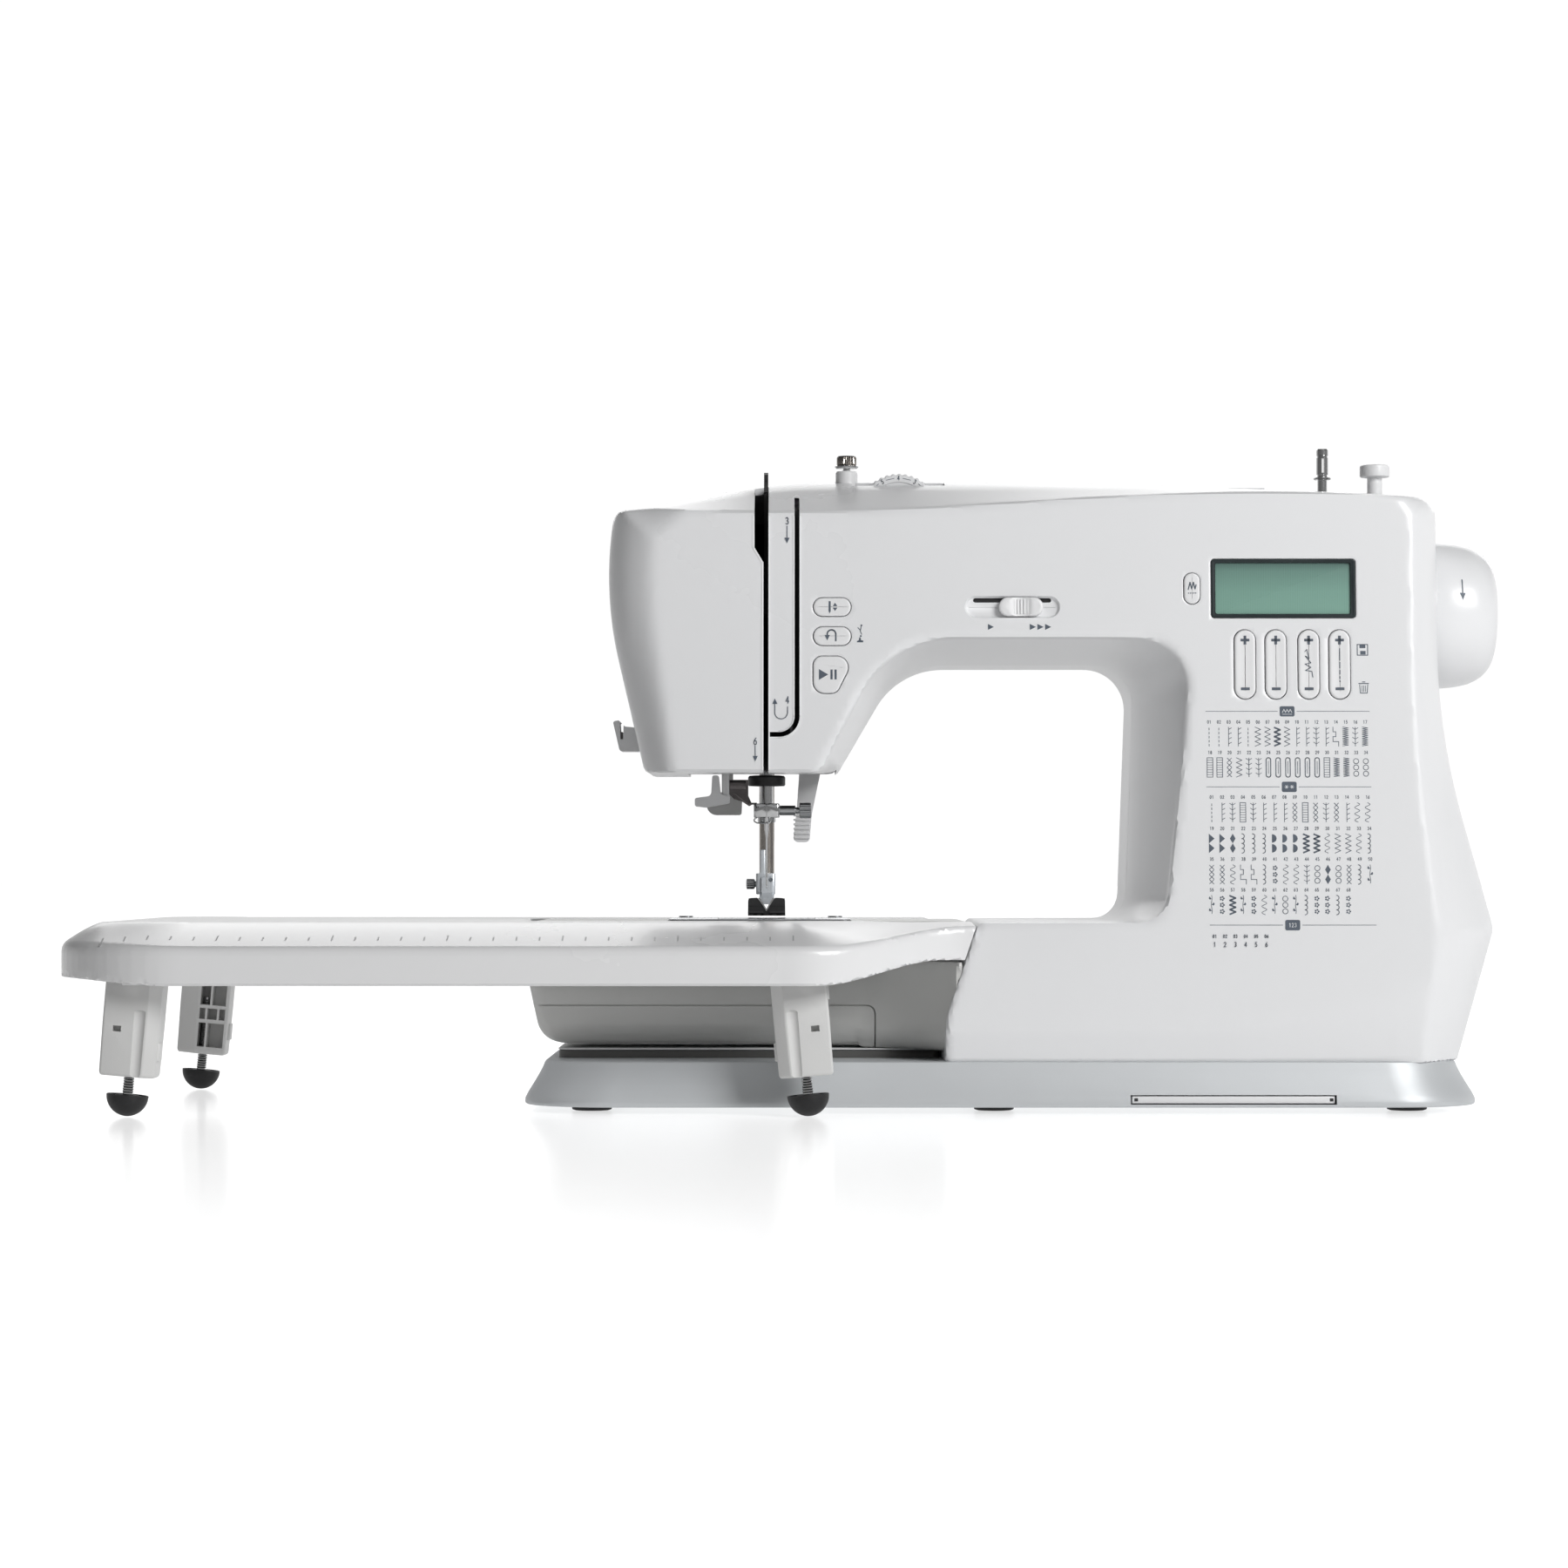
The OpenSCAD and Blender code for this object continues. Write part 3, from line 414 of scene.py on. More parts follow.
def facet_field(x, y, z):
    """The facet that slopes from the crease of the front up to the crown."""
    zc = smooth_line(CREASE, x)
    top = smooth_line(CROWN, x)
    yc = face_y(zc)
    m = np.maximum(top - zc, 0.5) / (-46 - yc)
    return (z - zc - (y - yc) * m) / np.sqrt(1 + m * m)


def casing_field(x, y, z):
    a = poly_sdf(SILHOUETTE, x, z)
    # the right end is full at the foot and narrows in plan towards the front and back
    r = 3 + 24 * smoothstep(-30, -72, x) + 34 * smoothstep(262, 292, x)
    front = front_field(x, y, z)
    facet = facet_field(x, y, z)
    back = poly_sdf(BACK, y, z)
    f = round_max(a, front, r)
    f = soft_max(f, round_max(a, facet, 7), 1.6)
    f = np.maximum(f, round_max(a, back, 14))
    u = np.clip((y + 100) / 90, 0, 1)
    t = 1 - (1 - u) ** 1.9
    v = poly_sdf(VOID_FRONT, x, z) * (1 - t) + poly_sdf(VOID_BACK, x, z) * t
    # the throat opens again a little at the very back
    v = v - 7 * np.clip((y - 30) / 22, 0, 1) ** 2
    f = round_max(f, -v, 2.2)
    return np.maximum(f, 22.2 - z)


def inner_field(x, y, z):
    return casing_field(x, y, z) + 3


FINE = 2.3

# ---------------------------------------------------------------- materials


def node(tree, kind, **values):
    """Adds a shader node; each value sets the input of that name, with _ for a space."""
    n = tree.nodes.new("ShaderNode" + kind)
    for key, v in values.items():
        n.inputs[key.replace("_", " ")].default_value = v
    return n


def material(name, color, rough, metallic=0, vary=0.03, scale=40, bump=0.02, grain=900, rough_vary=0.08, coat=0,
        specular=0.5, streak=None, edge=0):
    """Principled material with slow colour and gloss changes and a fine surface grain."""
    m = bpy.data.materials.new(name)
    m.use_nodes = True
    nt = m.node_tree
    link = nt.links.new
    bsdf = nt.nodes["Principled BSDF"].inputs
    for key, v in (("Metallic", metallic), ("Coat Weight", coat), ("Coat Roughness", 0.12),
            ("Specular IOR Level", specular)):
        bsdf[key].default_value = v
    place = node(nt, "TexCoord").outputs["Object"]
    slow = node(nt, "TexNoise", Scale=scale, Detail=4)
    link(place, slow.inputs["Vector"])
    ramp = node(nt, "ValToRGB")
    for e, position, k in zip(ramp.color_ramp.elements, (0.3, 0.7), (1 - vary, 1 + vary)):
        e.position = position
        e.color = tuple(min(max(c * k, 0), 1) for c in color) + (1,)
    link(slow.outputs["Fac"], ramp.inputs["Fac"])
    out = ramp.outputs["Color"]
    if edge:
        wear = node(nt, "MapRange", From_Min=0.52, From_Max=0.62, To_Max=edge)
        link(node(nt, "NewGeometry").outputs["Pointiness"], wear.inputs["Value"])
        mix = node(nt, "Mix")
        mix.data_type = "RGBA"
        mix.inputs[7].default_value = tuple(min(c * 1.6 + 0.05, 1) for c in color) + (1,)
        link(wear.outputs["Result"], mix.inputs[0])
        link(out, mix.inputs[6])
        out = mix.outputs[2]
    link(out, bsdf["Base Color"])
    gloss = node(nt, "MapRange", To_Min=max(rough - rough_vary, 0.02), To_Max=min(rough + rough_vary, 1))
    smear = node(nt, "TexNoise", Scale=scale * 0.6, Detail=6)
    link(place, smear.inputs["Vector"])
    link(smear.outputs["Fac"], gloss.inputs["Value"])
    link(gloss.outputs["Result"], bsdf["Roughness"])
    fine = node(nt, "TexNoise", Scale=grain, Detail=3)
    if streak:
        mapping = node(nt, "Mapping", Scale=streak)
        link(place, mapping.inputs["Vector"])
        place = mapping.outputs["Vector"]
    link(place, fine.inputs["Vector"])
    grain_bump = node(nt, "Bump", Strength=bump, Distance=0.0004)
    link(fine.outputs["Fac"], grain_bump.inputs["Height"])
    link(grain_bump.outputs["Normal"], bsdf["Normal"])
    return m


# look, name, colour, roughness, (colour variation, its scale, bump, grain), the rest
LOOKS = [
    ("casing", "casing_white", (0.8, 0.805, 0.815), 0.3, (0.006, 9, 0.05, 1400), dict(coat=0.15)),
    ("table", "table_white", (0.83, 0.832, 0.838), 0.27, (0.01, 7, 0.04, 1200), dict(coat=0.2)),
    # a darker copy of the casing white: painted shade under the extension table; also used on the grip and
    # buttonhole lever
    ("leg", "leg_white", (0.68, 0.68, 0.672), 0.42, (0.02, 22, 0.08, 1500), dict()),
    ("key", "key_white", (0.8, 0.803, 0.81), 0.38, (0.012, 60, 0.06, 2200), dict()),
    # the arm's white is darker than the casing's: painted shade under the extension table
    ("arm", "arm_white_painted_shade", (0.6, 0.6, 0.585), 0.36, (0.015, 12, 0.06, 1400), dict(coat=0.1)),
    ("base", "base_silver", (0.58, 0.6, 0.615), 0.42, (0.03, 14, 0.1, 2600), dict(metallic=0.2)),
    # plinth colour is near black: painted shade under the free arm
    ("plinth", "plinth_silver_painted_shade", (0.11, 0.11, 0.105), 0.5, (0.03, 18, 0.1, 2600), dict(metallic=0.2)),
    ("black", "black_plastic", (0.012, 0.012, 0.013), 0.42, (0.25, 60, 0.1, 1800), dict(edge=0.2)),
    ("liner", "slot_black", (0.006, 0.006, 0.007), 0.55, (0.2, 60, 0.1, 1600), dict()),
    ("rubber", "foot_rubber", (0.01, 0.01, 0.011), 0.5, (0.3, 90, 0.25, 1500), dict(edge=0.3)),
    ("belt", "belt_rubber", (0.015, 0.015, 0.015), 0.7, (0.3, 80, 0.3, 900), dict()),
    ("steel", "brushed_steel", (0.52, 0.53, 0.54), 0.3, (0.06, 70, 0.1, 700),
     dict(metallic=1, streak=(0.05, 1, 1), rough_vary=0.1)),
    ("plate", "plate_steel", (0.5, 0.51, 0.525), 0.22, (0.05, 40, 0.08, 900),
     dict(metallic=1, streak=(0.03, 1, 1), rough_vary=0.08)),
    ("chrome", "chrome", (0.62, 0.625, 0.63), 0.11, (0.05, 90, 0.03, 500), dict(metallic=1, rough_vary=0.05)),
    ("dark_steel", "dark_steel", (0.12, 0.11, 0.11), 0.25, (0.15, 120, 0.08, 900), dict(metallic=1)),
    ("satin", "satin_nickel", (0.7, 0.735, 0.77), 0.34, (0.04, 60, 0.06, 900), dict(metallic=0.45)),
    ("brass", "warm_steel", (0.42, 0.39, 0.36), 0.22, (0.08, 60, 0.05, 700), dict(metallic=1)),
    ("cast", "cast_aluminium", (0.36, 0.365, 0.37), 0.5, (0.1, 50, 0.35, 700), dict(metallic=0.8)),
    ("motor", "motor_paint", (0.05, 0.052, 0.056), 0.4, (0.15, 50, 0.2, 900), dict(metallic=0.3)),
    ("board", "circuit_board", (0.03, 0.13, 0.07), 0.45, (0.25, 200, 0.15, 1200), dict()),
    ("ink", "chart_ink", (0.085, 0.105, 0.135), 0.5, (0.12, 300, 0.03, 2500), dict()),
    ("ink_light", "moulded_marks", (0.46, 0.465, 0.47), 0.45, (0.05, 200, 0.03, 2500), dict()),
    ("edge", "edge_highlight", (0.93, 0.935, 0.94), 0.25, (0.02, 300, 0.02, 2500), dict()),
    ("ink_white", "badge_marks", (0.75, 0.77, 0.79), 0.5, (0.05, 300, 0.03, 2500), dict()),
    ("bezel", "display_bezel", (0.02, 0.028, 0.03), 0.25, (0.15, 80, 0.03, 1500), dict()),
]
M = {key: material(name, color, rough, vary=v[0], scale=v[1], bump=v[2], grain=v[3], **rest) for key, name,
    color, rough, v, rest in LOOKS}


M["clear"] = material("clear_plastic", (0.55, 0.6, 0.63), 0.12, vary=0.04, scale=80, bump=0.03, grain=900,
    rough_vary=0.05)
M["clear"].node_tree.nodes["Principled BSDF"].inputs["Alpha"].default_value = 0.4


def lcd_material():
    """Reflective display: grey-green, with painted shade darkening it under its top edge, and a fine grid of
    cells.
    """
    m = material("display_glass", (0.2, 0.33, 0.28), 0.16, vary=0.03, scale=60, bump=0.02, grain=900,
        rough_vary=0.03, coat=0.5)
    nt = m.node_tree
    link = nt.links.new
    place = next(n for n in nt.nodes if n.type == "TEX_COORD").outputs["Object"]
    axes = node(nt, "SeparateXYZ")
    link(place, axes.inputs["Vector"])
    # painted shade: from 220 mm up to the top edge the glass colour darkens, standing for the shadow under the
    # bezel
    up = node(nt, "MapRange", From_Min=0.22, From_Max=0.2455)
    link(axes.outputs["Z"], up.inputs["Value"])
    ramp = node(nt, "ValToRGB")
    e = ramp.color_ramp.elements
    e[0].position, e[0].color = 0, (0.235, 0.42, 0.345, 1)
    e[1].position, e[1].color = 1, (0.05, 0.09, 0.08, 1)
    for p, c in ((0.45, (0.215, 0.385, 0.32, 1)), (0.8, (0.17, 0.3, 0.255, 1)), (0.92, (0.12, 0.205, 0.18, 1))):
        e.new(p).color = c
    link(up.outputs["Result"], ramp.inputs["Fac"])
    cells = node(nt, "TexWave", Scale=420, Distortion=0)
    cells.bands_direction = "X"
    link(place, cells.inputs["Vector"])
    mix = node(nt, "Mix")
    mix.data_type = "RGBA"
    mix.blend_type = "MULTIPLY"
    mix.inputs[0].default_value = 0.1
    link(ramp.outputs["Color"], mix.inputs[6])
    link(cells.outputs["Color"], mix.inputs[7])
    link(mix.outputs[2], nt.nodes["Principled BSDF"].inputs["Base Color"])
    return m


M["lcd"] = lcd_material()


def paint(ob, mat):
    ob.data.materials.clear()
    ob.data.materials.append(M[mat])
    return ob


def put(ob, body, mat=None, nodes=()):
    """Finishes a piece: its look, the body it rides on and the CAD nodes it stands for."""
    if mat:
        paint(ob, mat)
    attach(ob, body)
    if nodes:
        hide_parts(*([nodes] if isinstance(nodes, str) else nodes))
    return ob


def on_face(x, z):
    """Local frame on the front panel: x to the right, y up it, z out of it, in mm."""
    return Matrix.Translation((x, face_y(z), z)) @ Matrix.Rotation(math.pi / 2 - TILT, 4, "X")


# ---------------------------------------------------------------- covers

shell = add("casing", surface(casing_field, (-95, -118, 12), (322, 86, 294), FINE, "casing"), None)
hollow = add("hollow", surface(inner_field, (-95, -118, 12), (322, 86, 294), 5, "hollow", 2), None)
boolean(shell, hollow)
boolean(shell, [box("c", (70, -96, 15), (280, 70, 25)), box("c", (60, -64, 30), (95, 34, 81.5)),
    box("c", (-48, -40, 145), (20, 40, 158)), drum(13, -25, 15, 64, at(305, WHEEL_Y, WHEEL_Z) @ TURN_X, None),])


def slice_of(name, lo, hi):
    return boolean(copy_of(shell, name), box("c", lo, hi), "INTERSECT")


rear = slice_of("rear_cover_shell", (-150, PARTING + 0.2, 0), (350, 120, 320))
front_half = slice_of("front_half", (-150, -150, 0), (350, PARTING - 0.2, 320))
bpy.data.objects.remove(shell)

face_region = rounded([[-120, 100, 0], [SLOT_L[0], 100, 0], [SLOT_L[0], 244, 0], [SLOT_L_TOP, 250.4, 0],
    [SLOT_L_TOP, 310, 0], [-120, 310, 0]])
face = boolean(copy_of(front_half, "face_cover_shell"), prism("c", face_region, -150, 0), "INTERSECT")
front = boolean(front_half, box("c", (SLOT_L[1], -150, 0), (350, 0, 320)), "INTERSECT")
front.name = "front_cover_shell"
outer = rounded([[-40, PANEL_END - 2.2, 0], [SLOT_R[1], PANEL_END - 2.2, 9.2], [SLOT_R[1], 275, 0.8],
    [-40, 275, 0]], 18)
strip = rounded([[-41, PANEL_END, 0], [SLOT_R[0], PANEL_END, 7], [SLOT_R[0], 276, 0], [-41, 276, 0]], 18)
boolean(front, boolean(prism("c", outer, -150, -60), prism("d", strip, -151, -59)))

START = rounded([[-7.7, -8.2, 5], [2.6, -8.2, 4], [7.7, 2, 5], [7.7, 8.2, 5], [-7.7, 8.2, 4]], 10)
BUTTONS = {"needle_button": (17.4, 224.4), "reverse_button": (17.4, 211.4)}
KEYS = [200.7, 214.4, 229, 242.7]
KEY_Z = 198.8
LCD = (218.2, 232.7)
SLIDER_X, SLIDER_Z = 101.3, 224.4
SLOT_X, SLOT_Z = 97.5, 227.6
LCD_RIM = round_rect(-32.4, -13.3, 32, 13.3, 1.6, 6)


def cutter(outline, x, z, profile=((0, -14), (0, 12))):
    return pad("c", outline, profile, on_face(x, z), None)


def rimmed(d=0.45):
    """Profile of a hole with a softly broken edge."""
    return [(0, -14), (0, -d), (-d * 0.3, -d * 0.3), (-d, 0.02), (-d - 0.3, 8)]


cuts = [cutter(pill(17.3, 8.8), *s, rimmed()) for s in BUTTONS.values()]
cuts.append(cutter(inset(START, -0.35), 16.7, 194.2, rimmed()))
cuts.append(cutter(pill(7.7, 14.4), 177.4, 232.7, rimmed()))
cuts += [cutter(pill(10, 31.5), x, KEY_Z, rimmed()) for x in KEYS]
cuts.append(cutter(LCD_RIM, *LCD, rimmed(0.6)))
cuts.append(cutter(inset(pill(34.8, 2, 4), 0), SLOT_X, SLOT_Z))
cuts.append(box("c", (27, -53, 262), (69, -43, 295)))
cuts.append(pad("c", pill(16, 10), [(0, 270), (0, 295)], at(245.8, -32, 0), None))
cuts.append(drum(5.3, 270, 295, 40, at(*TOP_POST), None))
cuts.append(drum(3.6, 270, 295, 40, at(268.2, -32, 0), None))
boolean(front, cuts)
boolean(front, cutter(pill(41.8, 9.3, 12), SLOT_X, SLIDER_Z, [(1.7, -1.8), (0.6, -1.55), (0.15, -1), (0, -0.4),
    (-0.35, 0.02), (-0.6, 6)]))
shade(front, 32)
shade(face, 32)
put(front, "machine", "casing", "front_cover")
put(face, "machine", "casing", "face_cover")

# rear cover: spool pocket, switch pocket, screw holes, lifter slot and the handle's ears
walls = [box("w", (92, -16, 254), (218, 44, 284)), prism("w", rounded([[290, 33, 0], [303, 33, 0], [306, 81, 0],
    [290, 81, 0]]), -1, 67)]
boolean(rear, walls, "UNION")
for x in (24, 152):
    ear = lathe("e", [(0, 0), (5.6, 0), (6, 0.4), (6, 5.6), (5.6, 6), (0, 6)], 40, at(x, 56, 266) @ TURN_X,
        None)
    web = box("e", (x + 0.01, 46, 260.2), (x + 5.99, 56, 271.6))
    boolean(rear, [ear, web], "UNION")
    boolean(rear, drum(2.85, -2, 8, 32, at(x, 56, 266) @ TURN_X, None))
vents = [prism("c", inset(pill(26, 2.2), 0) + np.array([230, 196 + 6 * k]), 40, 60) for k in range(7)]
boolean(rear, vents + [pad("c", round_rect(95, -13, 215, 41, 5, 8), [(0, 257), (0, 300)], None, None),
    box("c", (293, 2, 36), (330, 64, 78)), box("c", (285, 10.5, 49.5), (300, 31.5, 62.5)),
    box("c", (285, 38, 44), (300, 58, 68)), box("c", (4, 18, 145), (26, 28, 168)),])
holes = []
for x, z, y in ((265, 48, 78), (265, 110, 74.2), (265, 170, 56.2), (-40, 200, 50)):
    holes.append(lathe("c", [(0, -10), (4.2, -10), (4.2, 3.5), (2, 3.6), (2, 30), (0, 30)], 32,
        at(x, y + 0.4, z) @ TO_FRONT, None))
boolean(rear, holes)
shade(rear, 32)
put(rear, "machine", "casing", "rear_cover")

# black channel behind the thread slots
liner_outline = [(-31, 153), (-98, 156.5), (-95.6, 196), (-90.6, 250), (-87.8, 262.6), (-52, 277.4),
                 (-31, 279.2)]
lin = [prism("l", liner_outline, -18.7, -18, "x"),
       prism("l", liner_outline, -10.3, -9.7, "x"),
       box("l", (-18.7, -33, 153), (-9.7, -31.6, 279)),
       prism("l", [(-93, 164.8), (-99.6, 165), (-97.6, 196), (-92.4, 252), (-90.7, 266.2), (-84, 268)],
             -1.2, -0.2, "x"),
       prism("l", [(-93, 163), (-99.6, 163), (-97.6, 196), (-92.4, 252), (-90.7, 266.2), (-84, 268)],
             3.4, 4.2, "x"),
       prism("l", [(-11.5, 161), (6, 161), (6, 268.6), (-1, 268.6), (-1, 200), (-4, 172), (-11.5, 170)],
             -84.5, -83.5)]
liner = join("slot_liner", lin)
put(liner, "machine", "liner", ())

# ---------------------------------------------------------------- printed marks


class Ink:
    """Flat marks gathered into one thin raised mesh: outlines are in mm in a local plane."""

    def __init__(self):
        self.polys = []

    def poly(self, pts):
        self.polys.append([(float(p[0]), float(p[1])) for p in pts])
        return self

    def rect(self, x, y, w, h):
        return self.poly([(x - w / 2, y - h / 2), (x + w / 2, y - h / 2), (x + w / 2, y + h / 2),
            (x - w / 2, y + h / 2)])

    def disc(self, x, y, r, n=14):
        return self.poly([(x + r * math.cos(2 * math.pi * i / n),
            y + r * math.sin(2 * math.pi * i / n)) for i in range(n)])

    def line(self, pts, w, closed=False):
        m = len(pts)
        for i in range(m if closed else m - 1):
            a, b = np.array(pts[i], float), np.array(pts[(i + 1) % m], float)
            d = b - a
            length = np.linalg.norm(d)
            if length < 1e-6:
                continue
            d = d / length * w / 2
            q = np.array([-d[1], d[0]])
            a, b = a - d * 0.6, b + d * 0.6
            self.poly([a - q, b - q, b + q, a + q])
        return self

    def arc(self, x, y, r, t0, t1, w, n=10):
        t = np.radians(np.linspace(t0, t1, n))
        return self.line([(x + r * math.cos(k), y + r * math.sin(k)) for k in t], w)

    def digits(self, text, x, y, h, w):
        """Plain stroked numerals, centred on x, y."""
        step = h * 0.72
        x0 = x - step * (len(text) - 1) / 2
        for k, ch in enumerate(text):
            s = [(x0 + k * step + (px - 0.5) * h * 0.5, y + (py - 0.5) * h) for px, py in DIGITS[ch]]
            self.line(s, w)
        return self

    def make(self, name, place, lift=0.07, sink=0.05, wrap=None):
        verts, faces = [], []
        for p in self.polys:
            area = sum(p[i - 1][0] * p[i][1] - p[i][0] * p[i - 1][1] for i in range(len(p)))
            if area < 0:
                p = p[::-1]
            n, o = len(p), len(verts)
            for z in (-sink, lift):
                for x, y in p:
                    q = (x, y, z) if wrap is None else wrap(x, y, z)
                    verts.append(tuple(place @ Vector(q)) if place is not None else q)
            faces.append(tuple(o + i for i in reversed(range(n))))
            faces.append(tuple(o + n + i for i in range(n)))
            faces += [(o + i, o + (i + 1) % n, o + n + (i + 1) % n, o + n + i) for i in range(n)]
        me = bpy.data.meshes.new(name)
        me.from_pydata([tuple(c * MM for c in v) for v in verts], [], faces)
        me.update()
        return add(name, me, None)


def ring_pts(cx, cy, rx, ry, t0, t1, n=9):
    return [(cx + rx * math.cos(math.radians(t)), cy + ry * math.sin(math.radians(t))) for t in np.linspace(t0,
        t1, n)]


DIGITS = {
    "0": ring_pts(0.5, 0.5, 0.42, 0.5, 90, 450, 13),
    "1": [(0.25, 0.82), (0.55, 1), (0.55, 0)],
    "2": ring_pts(0.5, 0.72, 0.4, 0.28, 170, -35, 8) + [(0.1, 0), (0.95, 0)],
    "3": ring_pts(0.48, 0.75, 0.36, 0.25, 150, -85, 8) + ring_pts(0.48, 0.26, 0.42, 0.26, 85, -150, 8),
    "4": [(0.95, 0.3), (0.05, 0.3), (0.68, 1), (0.68, 0)],
    "5": [(0.85, 1), (0.22, 1), (0.14, 0.55)] + ring_pts(0.46, 0.32, 0.42, 0.32, 110, -150, 9),
    "6": [(0.75, 1), (0.3, 0.65)] + ring_pts(0.5, 0.3, 0.4, 0.3, 150, -210, 12),
    "7": [(0.08, 1), (0.92, 1), (0.4, 0)],
    "8": ring_pts(0.5, 0.75, 0.34, 0.25, -90, 270, 11) + ring_pts(0.5, 0.25, 0.42, 0.25, 90, -270, 11),
    "9": ring_pts(0.5, 0.7, 0.4, 0.3, -30, 330, 12) + [(0.9, 0.62), (0.7, 0.3), (0.3, 0)],
}


def mark(ink, name, body, place, mat="ink", **how):
    return put(ink.make(name, place, **how), body, mat)


# ---------------------------------------------------------------- shapes used by several pieces

def rod(name, axis, p, lo, hi, r, ch=0.3, n=40):
    """Round bar along an axis with broken edges; p is its place in the two other axes."""
    prof = [(0, lo), (r - ch, lo), (r, lo + ch), (r, hi - ch), (r - ch, hi), (0, hi)]
    if axis == "x":
        place = at(0, p[0], p[1]) @ TURN_X
    elif axis == "y":
        place = at(p[0], 0, p[1]) @ TURN_Y
    else:
        place = at(p[0], p[1], 0)
    return lathe(name, prof, n, place)


def block(name, lo, hi, r=1, ch=0.4, n=4, place=None):
    """Box with round upright edges and broken top and bottom edges."""
    o = rounded([[lo[0], lo[1], r], [hi[0], lo[1], r], [hi[0], hi[1], r], [lo[0], hi[1], r]], n)
    return pad(name, o, [(ch, lo[2]), (ch * 0.3, lo[2] + ch * 0.3), (0, lo[2] + ch), (0, hi[2] - ch),
        (ch * 0.3, hi[2] - ch * 0.3), (ch, hi[2])], place)


def seat(ob, place):
    """Moves the mesh of ob into a frame that is given in mm."""
    ob.data.transform(at(*(c * MM for c in place.translation)) @ place.to_3x3().to_4x4())
    return ob


def knurled(name, profile, n, depth, limit, place):
    """Skin through (height, radius) points; where the radius is over the limit, each third point is notched."""
    rings = []
    for h, r in profile:
        ring = []
        for k in range(n):
            q = r - (depth if r > limit and k % 3 == 0 else 0)
            ring.append(place(h, q * math.cos(2 * math.pi * k / n), q * math.sin(2 * math.pi * k / n)))
        rings.append(ring)
    return loft(name, rings, 30)


def union(name, obs, angle=35):
    base = obs[0]
    if len(obs) > 1:
        boolean(base, list(obs[1:]), "UNION")
    base.name = name
    shade(base, angle)
    return base


# ---------------------------------------------------------------- free arm and base

ARM_SIDE = rounded([[-68, 27.5, 13], [38, 27.5, 14], [38, 84.5, 2], [-68, 84.5, 2]], 12)
ARM_FRONT = rounded([[-113, 27.5, 15], [66.6, 27.5, 0], [67.1, 42, 50], [86.9, 100, 0], [-120, 100, 0],
    [-120, 60, 60]], 12)


def arm_field(x, y, z):
    return round_max(poly_sdf(ARM_SIDE, y, z), poly_sdf(ARM_FRONT, x, z), 5)


def foot_sweep(x, y, z):
    """Sweep that joins the front of the arm to the tower's corner."""
    ye = -67.9 - 41 * np.clip((x - 30) / 43, 0, 1) ** 1.9
    sec = round_max(ye - y, 27 - z, 11)
    f = np.maximum(sec, y + 58)
    f = np.maximum(f, np.maximum(30 - x, x - 69.5 - 0.14 * (z - 27)))
    return np.maximum(f, z - 66.5)


arm = add("free_arm_shell", surface(lambda x, y, z: np.minimum(arm_field(x, y, z), foot_sweep(x, y, z)),
    (-128, -116, 22), (90, 46, 92), 2.2, "arm"), None)
hollow = add("h", surface(lambda x, y, z: arm_field(x, y, z) + 3, (-126, -74, 24), (88, 44, 90), 4, "h", 2),
    None)
boolean(arm, hollow)
band = prism("c", inset(ARM_SIDE, -2.5), 36.7, 37.4, "x")
boolean(band, prism("d", inset(ARM_SIDE, 0.8), 36, 38, "x"))
boolean(band, box("d", (30, -80, 20), (40, -55, 43.2)), "INTERSECT")
corner = prism("c", [tuple(p) for p in np.concatenate([[(33.4 + 3.9 * math.cos(t),
    43 + 3.9 * math.sin(t)) for t in np.linspace(-0.1, math.pi / 2 + 0.1, 10)],
    [(33.4 + 3.2 * math.cos(t), 43 + 3.2 * math.sin(t)) for t in np.linspace(math.pi / 2 + 0.1, -0.1, 10)]])],
    -72, -67.1)
boolean(arm, [band, corner, box("c", (-124, -72, 46.2), (33.6, -67.1, 46.9)), box("c", (-124, -66, 46.2),
    (-118.7, 46, 46.9)), box("c", (60, -65, 30.5), (95, 35, 81.5)), box("c", (-56.9, -60.3, 79),
    (26.8, 28.3, 90)), box("c", (-122, -50, 51.5), (-116.5, -38, 57.5)), box("c", (-122, 20, 51.5),
    (-116.5, 30, 57.5))])
shade(arm, 32)
put(arm, "machine", "arm", "free_arm_cover")


def base_rings(d, steps):
    rings = []
    for z, sx, sy in steps:
        r = 40 - d - sx * 0.5
        o = round_rect(-120.5 + d + sx, -111 + d + sy, 306.6 - d - sx, 81 - d - sy, r, 14)
        rings.append([(p[0], p[1], z) for p in o])
    return rings


base = loft("base_moulding", base_rings(0, [(2.6, 1, 1), (3, 0.3, 0.3), (3.8, 0, 0), (5.4, 0.2, 0.1),
    (8, 1.5, 1), (12, 4, 2.5), (16, 6.4, 3.9), (19.5, 8.2, 4.9), (21.3, 8.9, 5.3), (22.2, 9.6, 5.6),
    (22.6, 10.4, 6.2), (22.7, 11.2, 6.8)]))
boolean(base, [loft("c", base_rings(2.6, [(4.6, 0, 0), (8, 1.5, 1), (12, 4, 2.5), (16, 6.4, 3.9),
    (20, 8.4, 5)])), box("c", (78, -92, 15), (277, 60, 30)), box("c", (149, -125, 3.9), (240, 5, 8.1)),])
shade(base, 30)
put(base, "machine", "base", "base")
plinth = pad("arm_plinth", rounded([[-106, -64, 9], [66, -64, 3], [66, 36, 3], [-106, 36, 9]], 8),
    [(0, 22.3), (0, 25.3), (0.4, 26.1), (1.2, 26.5)])
put(plinth, "machine", "plinth", ())
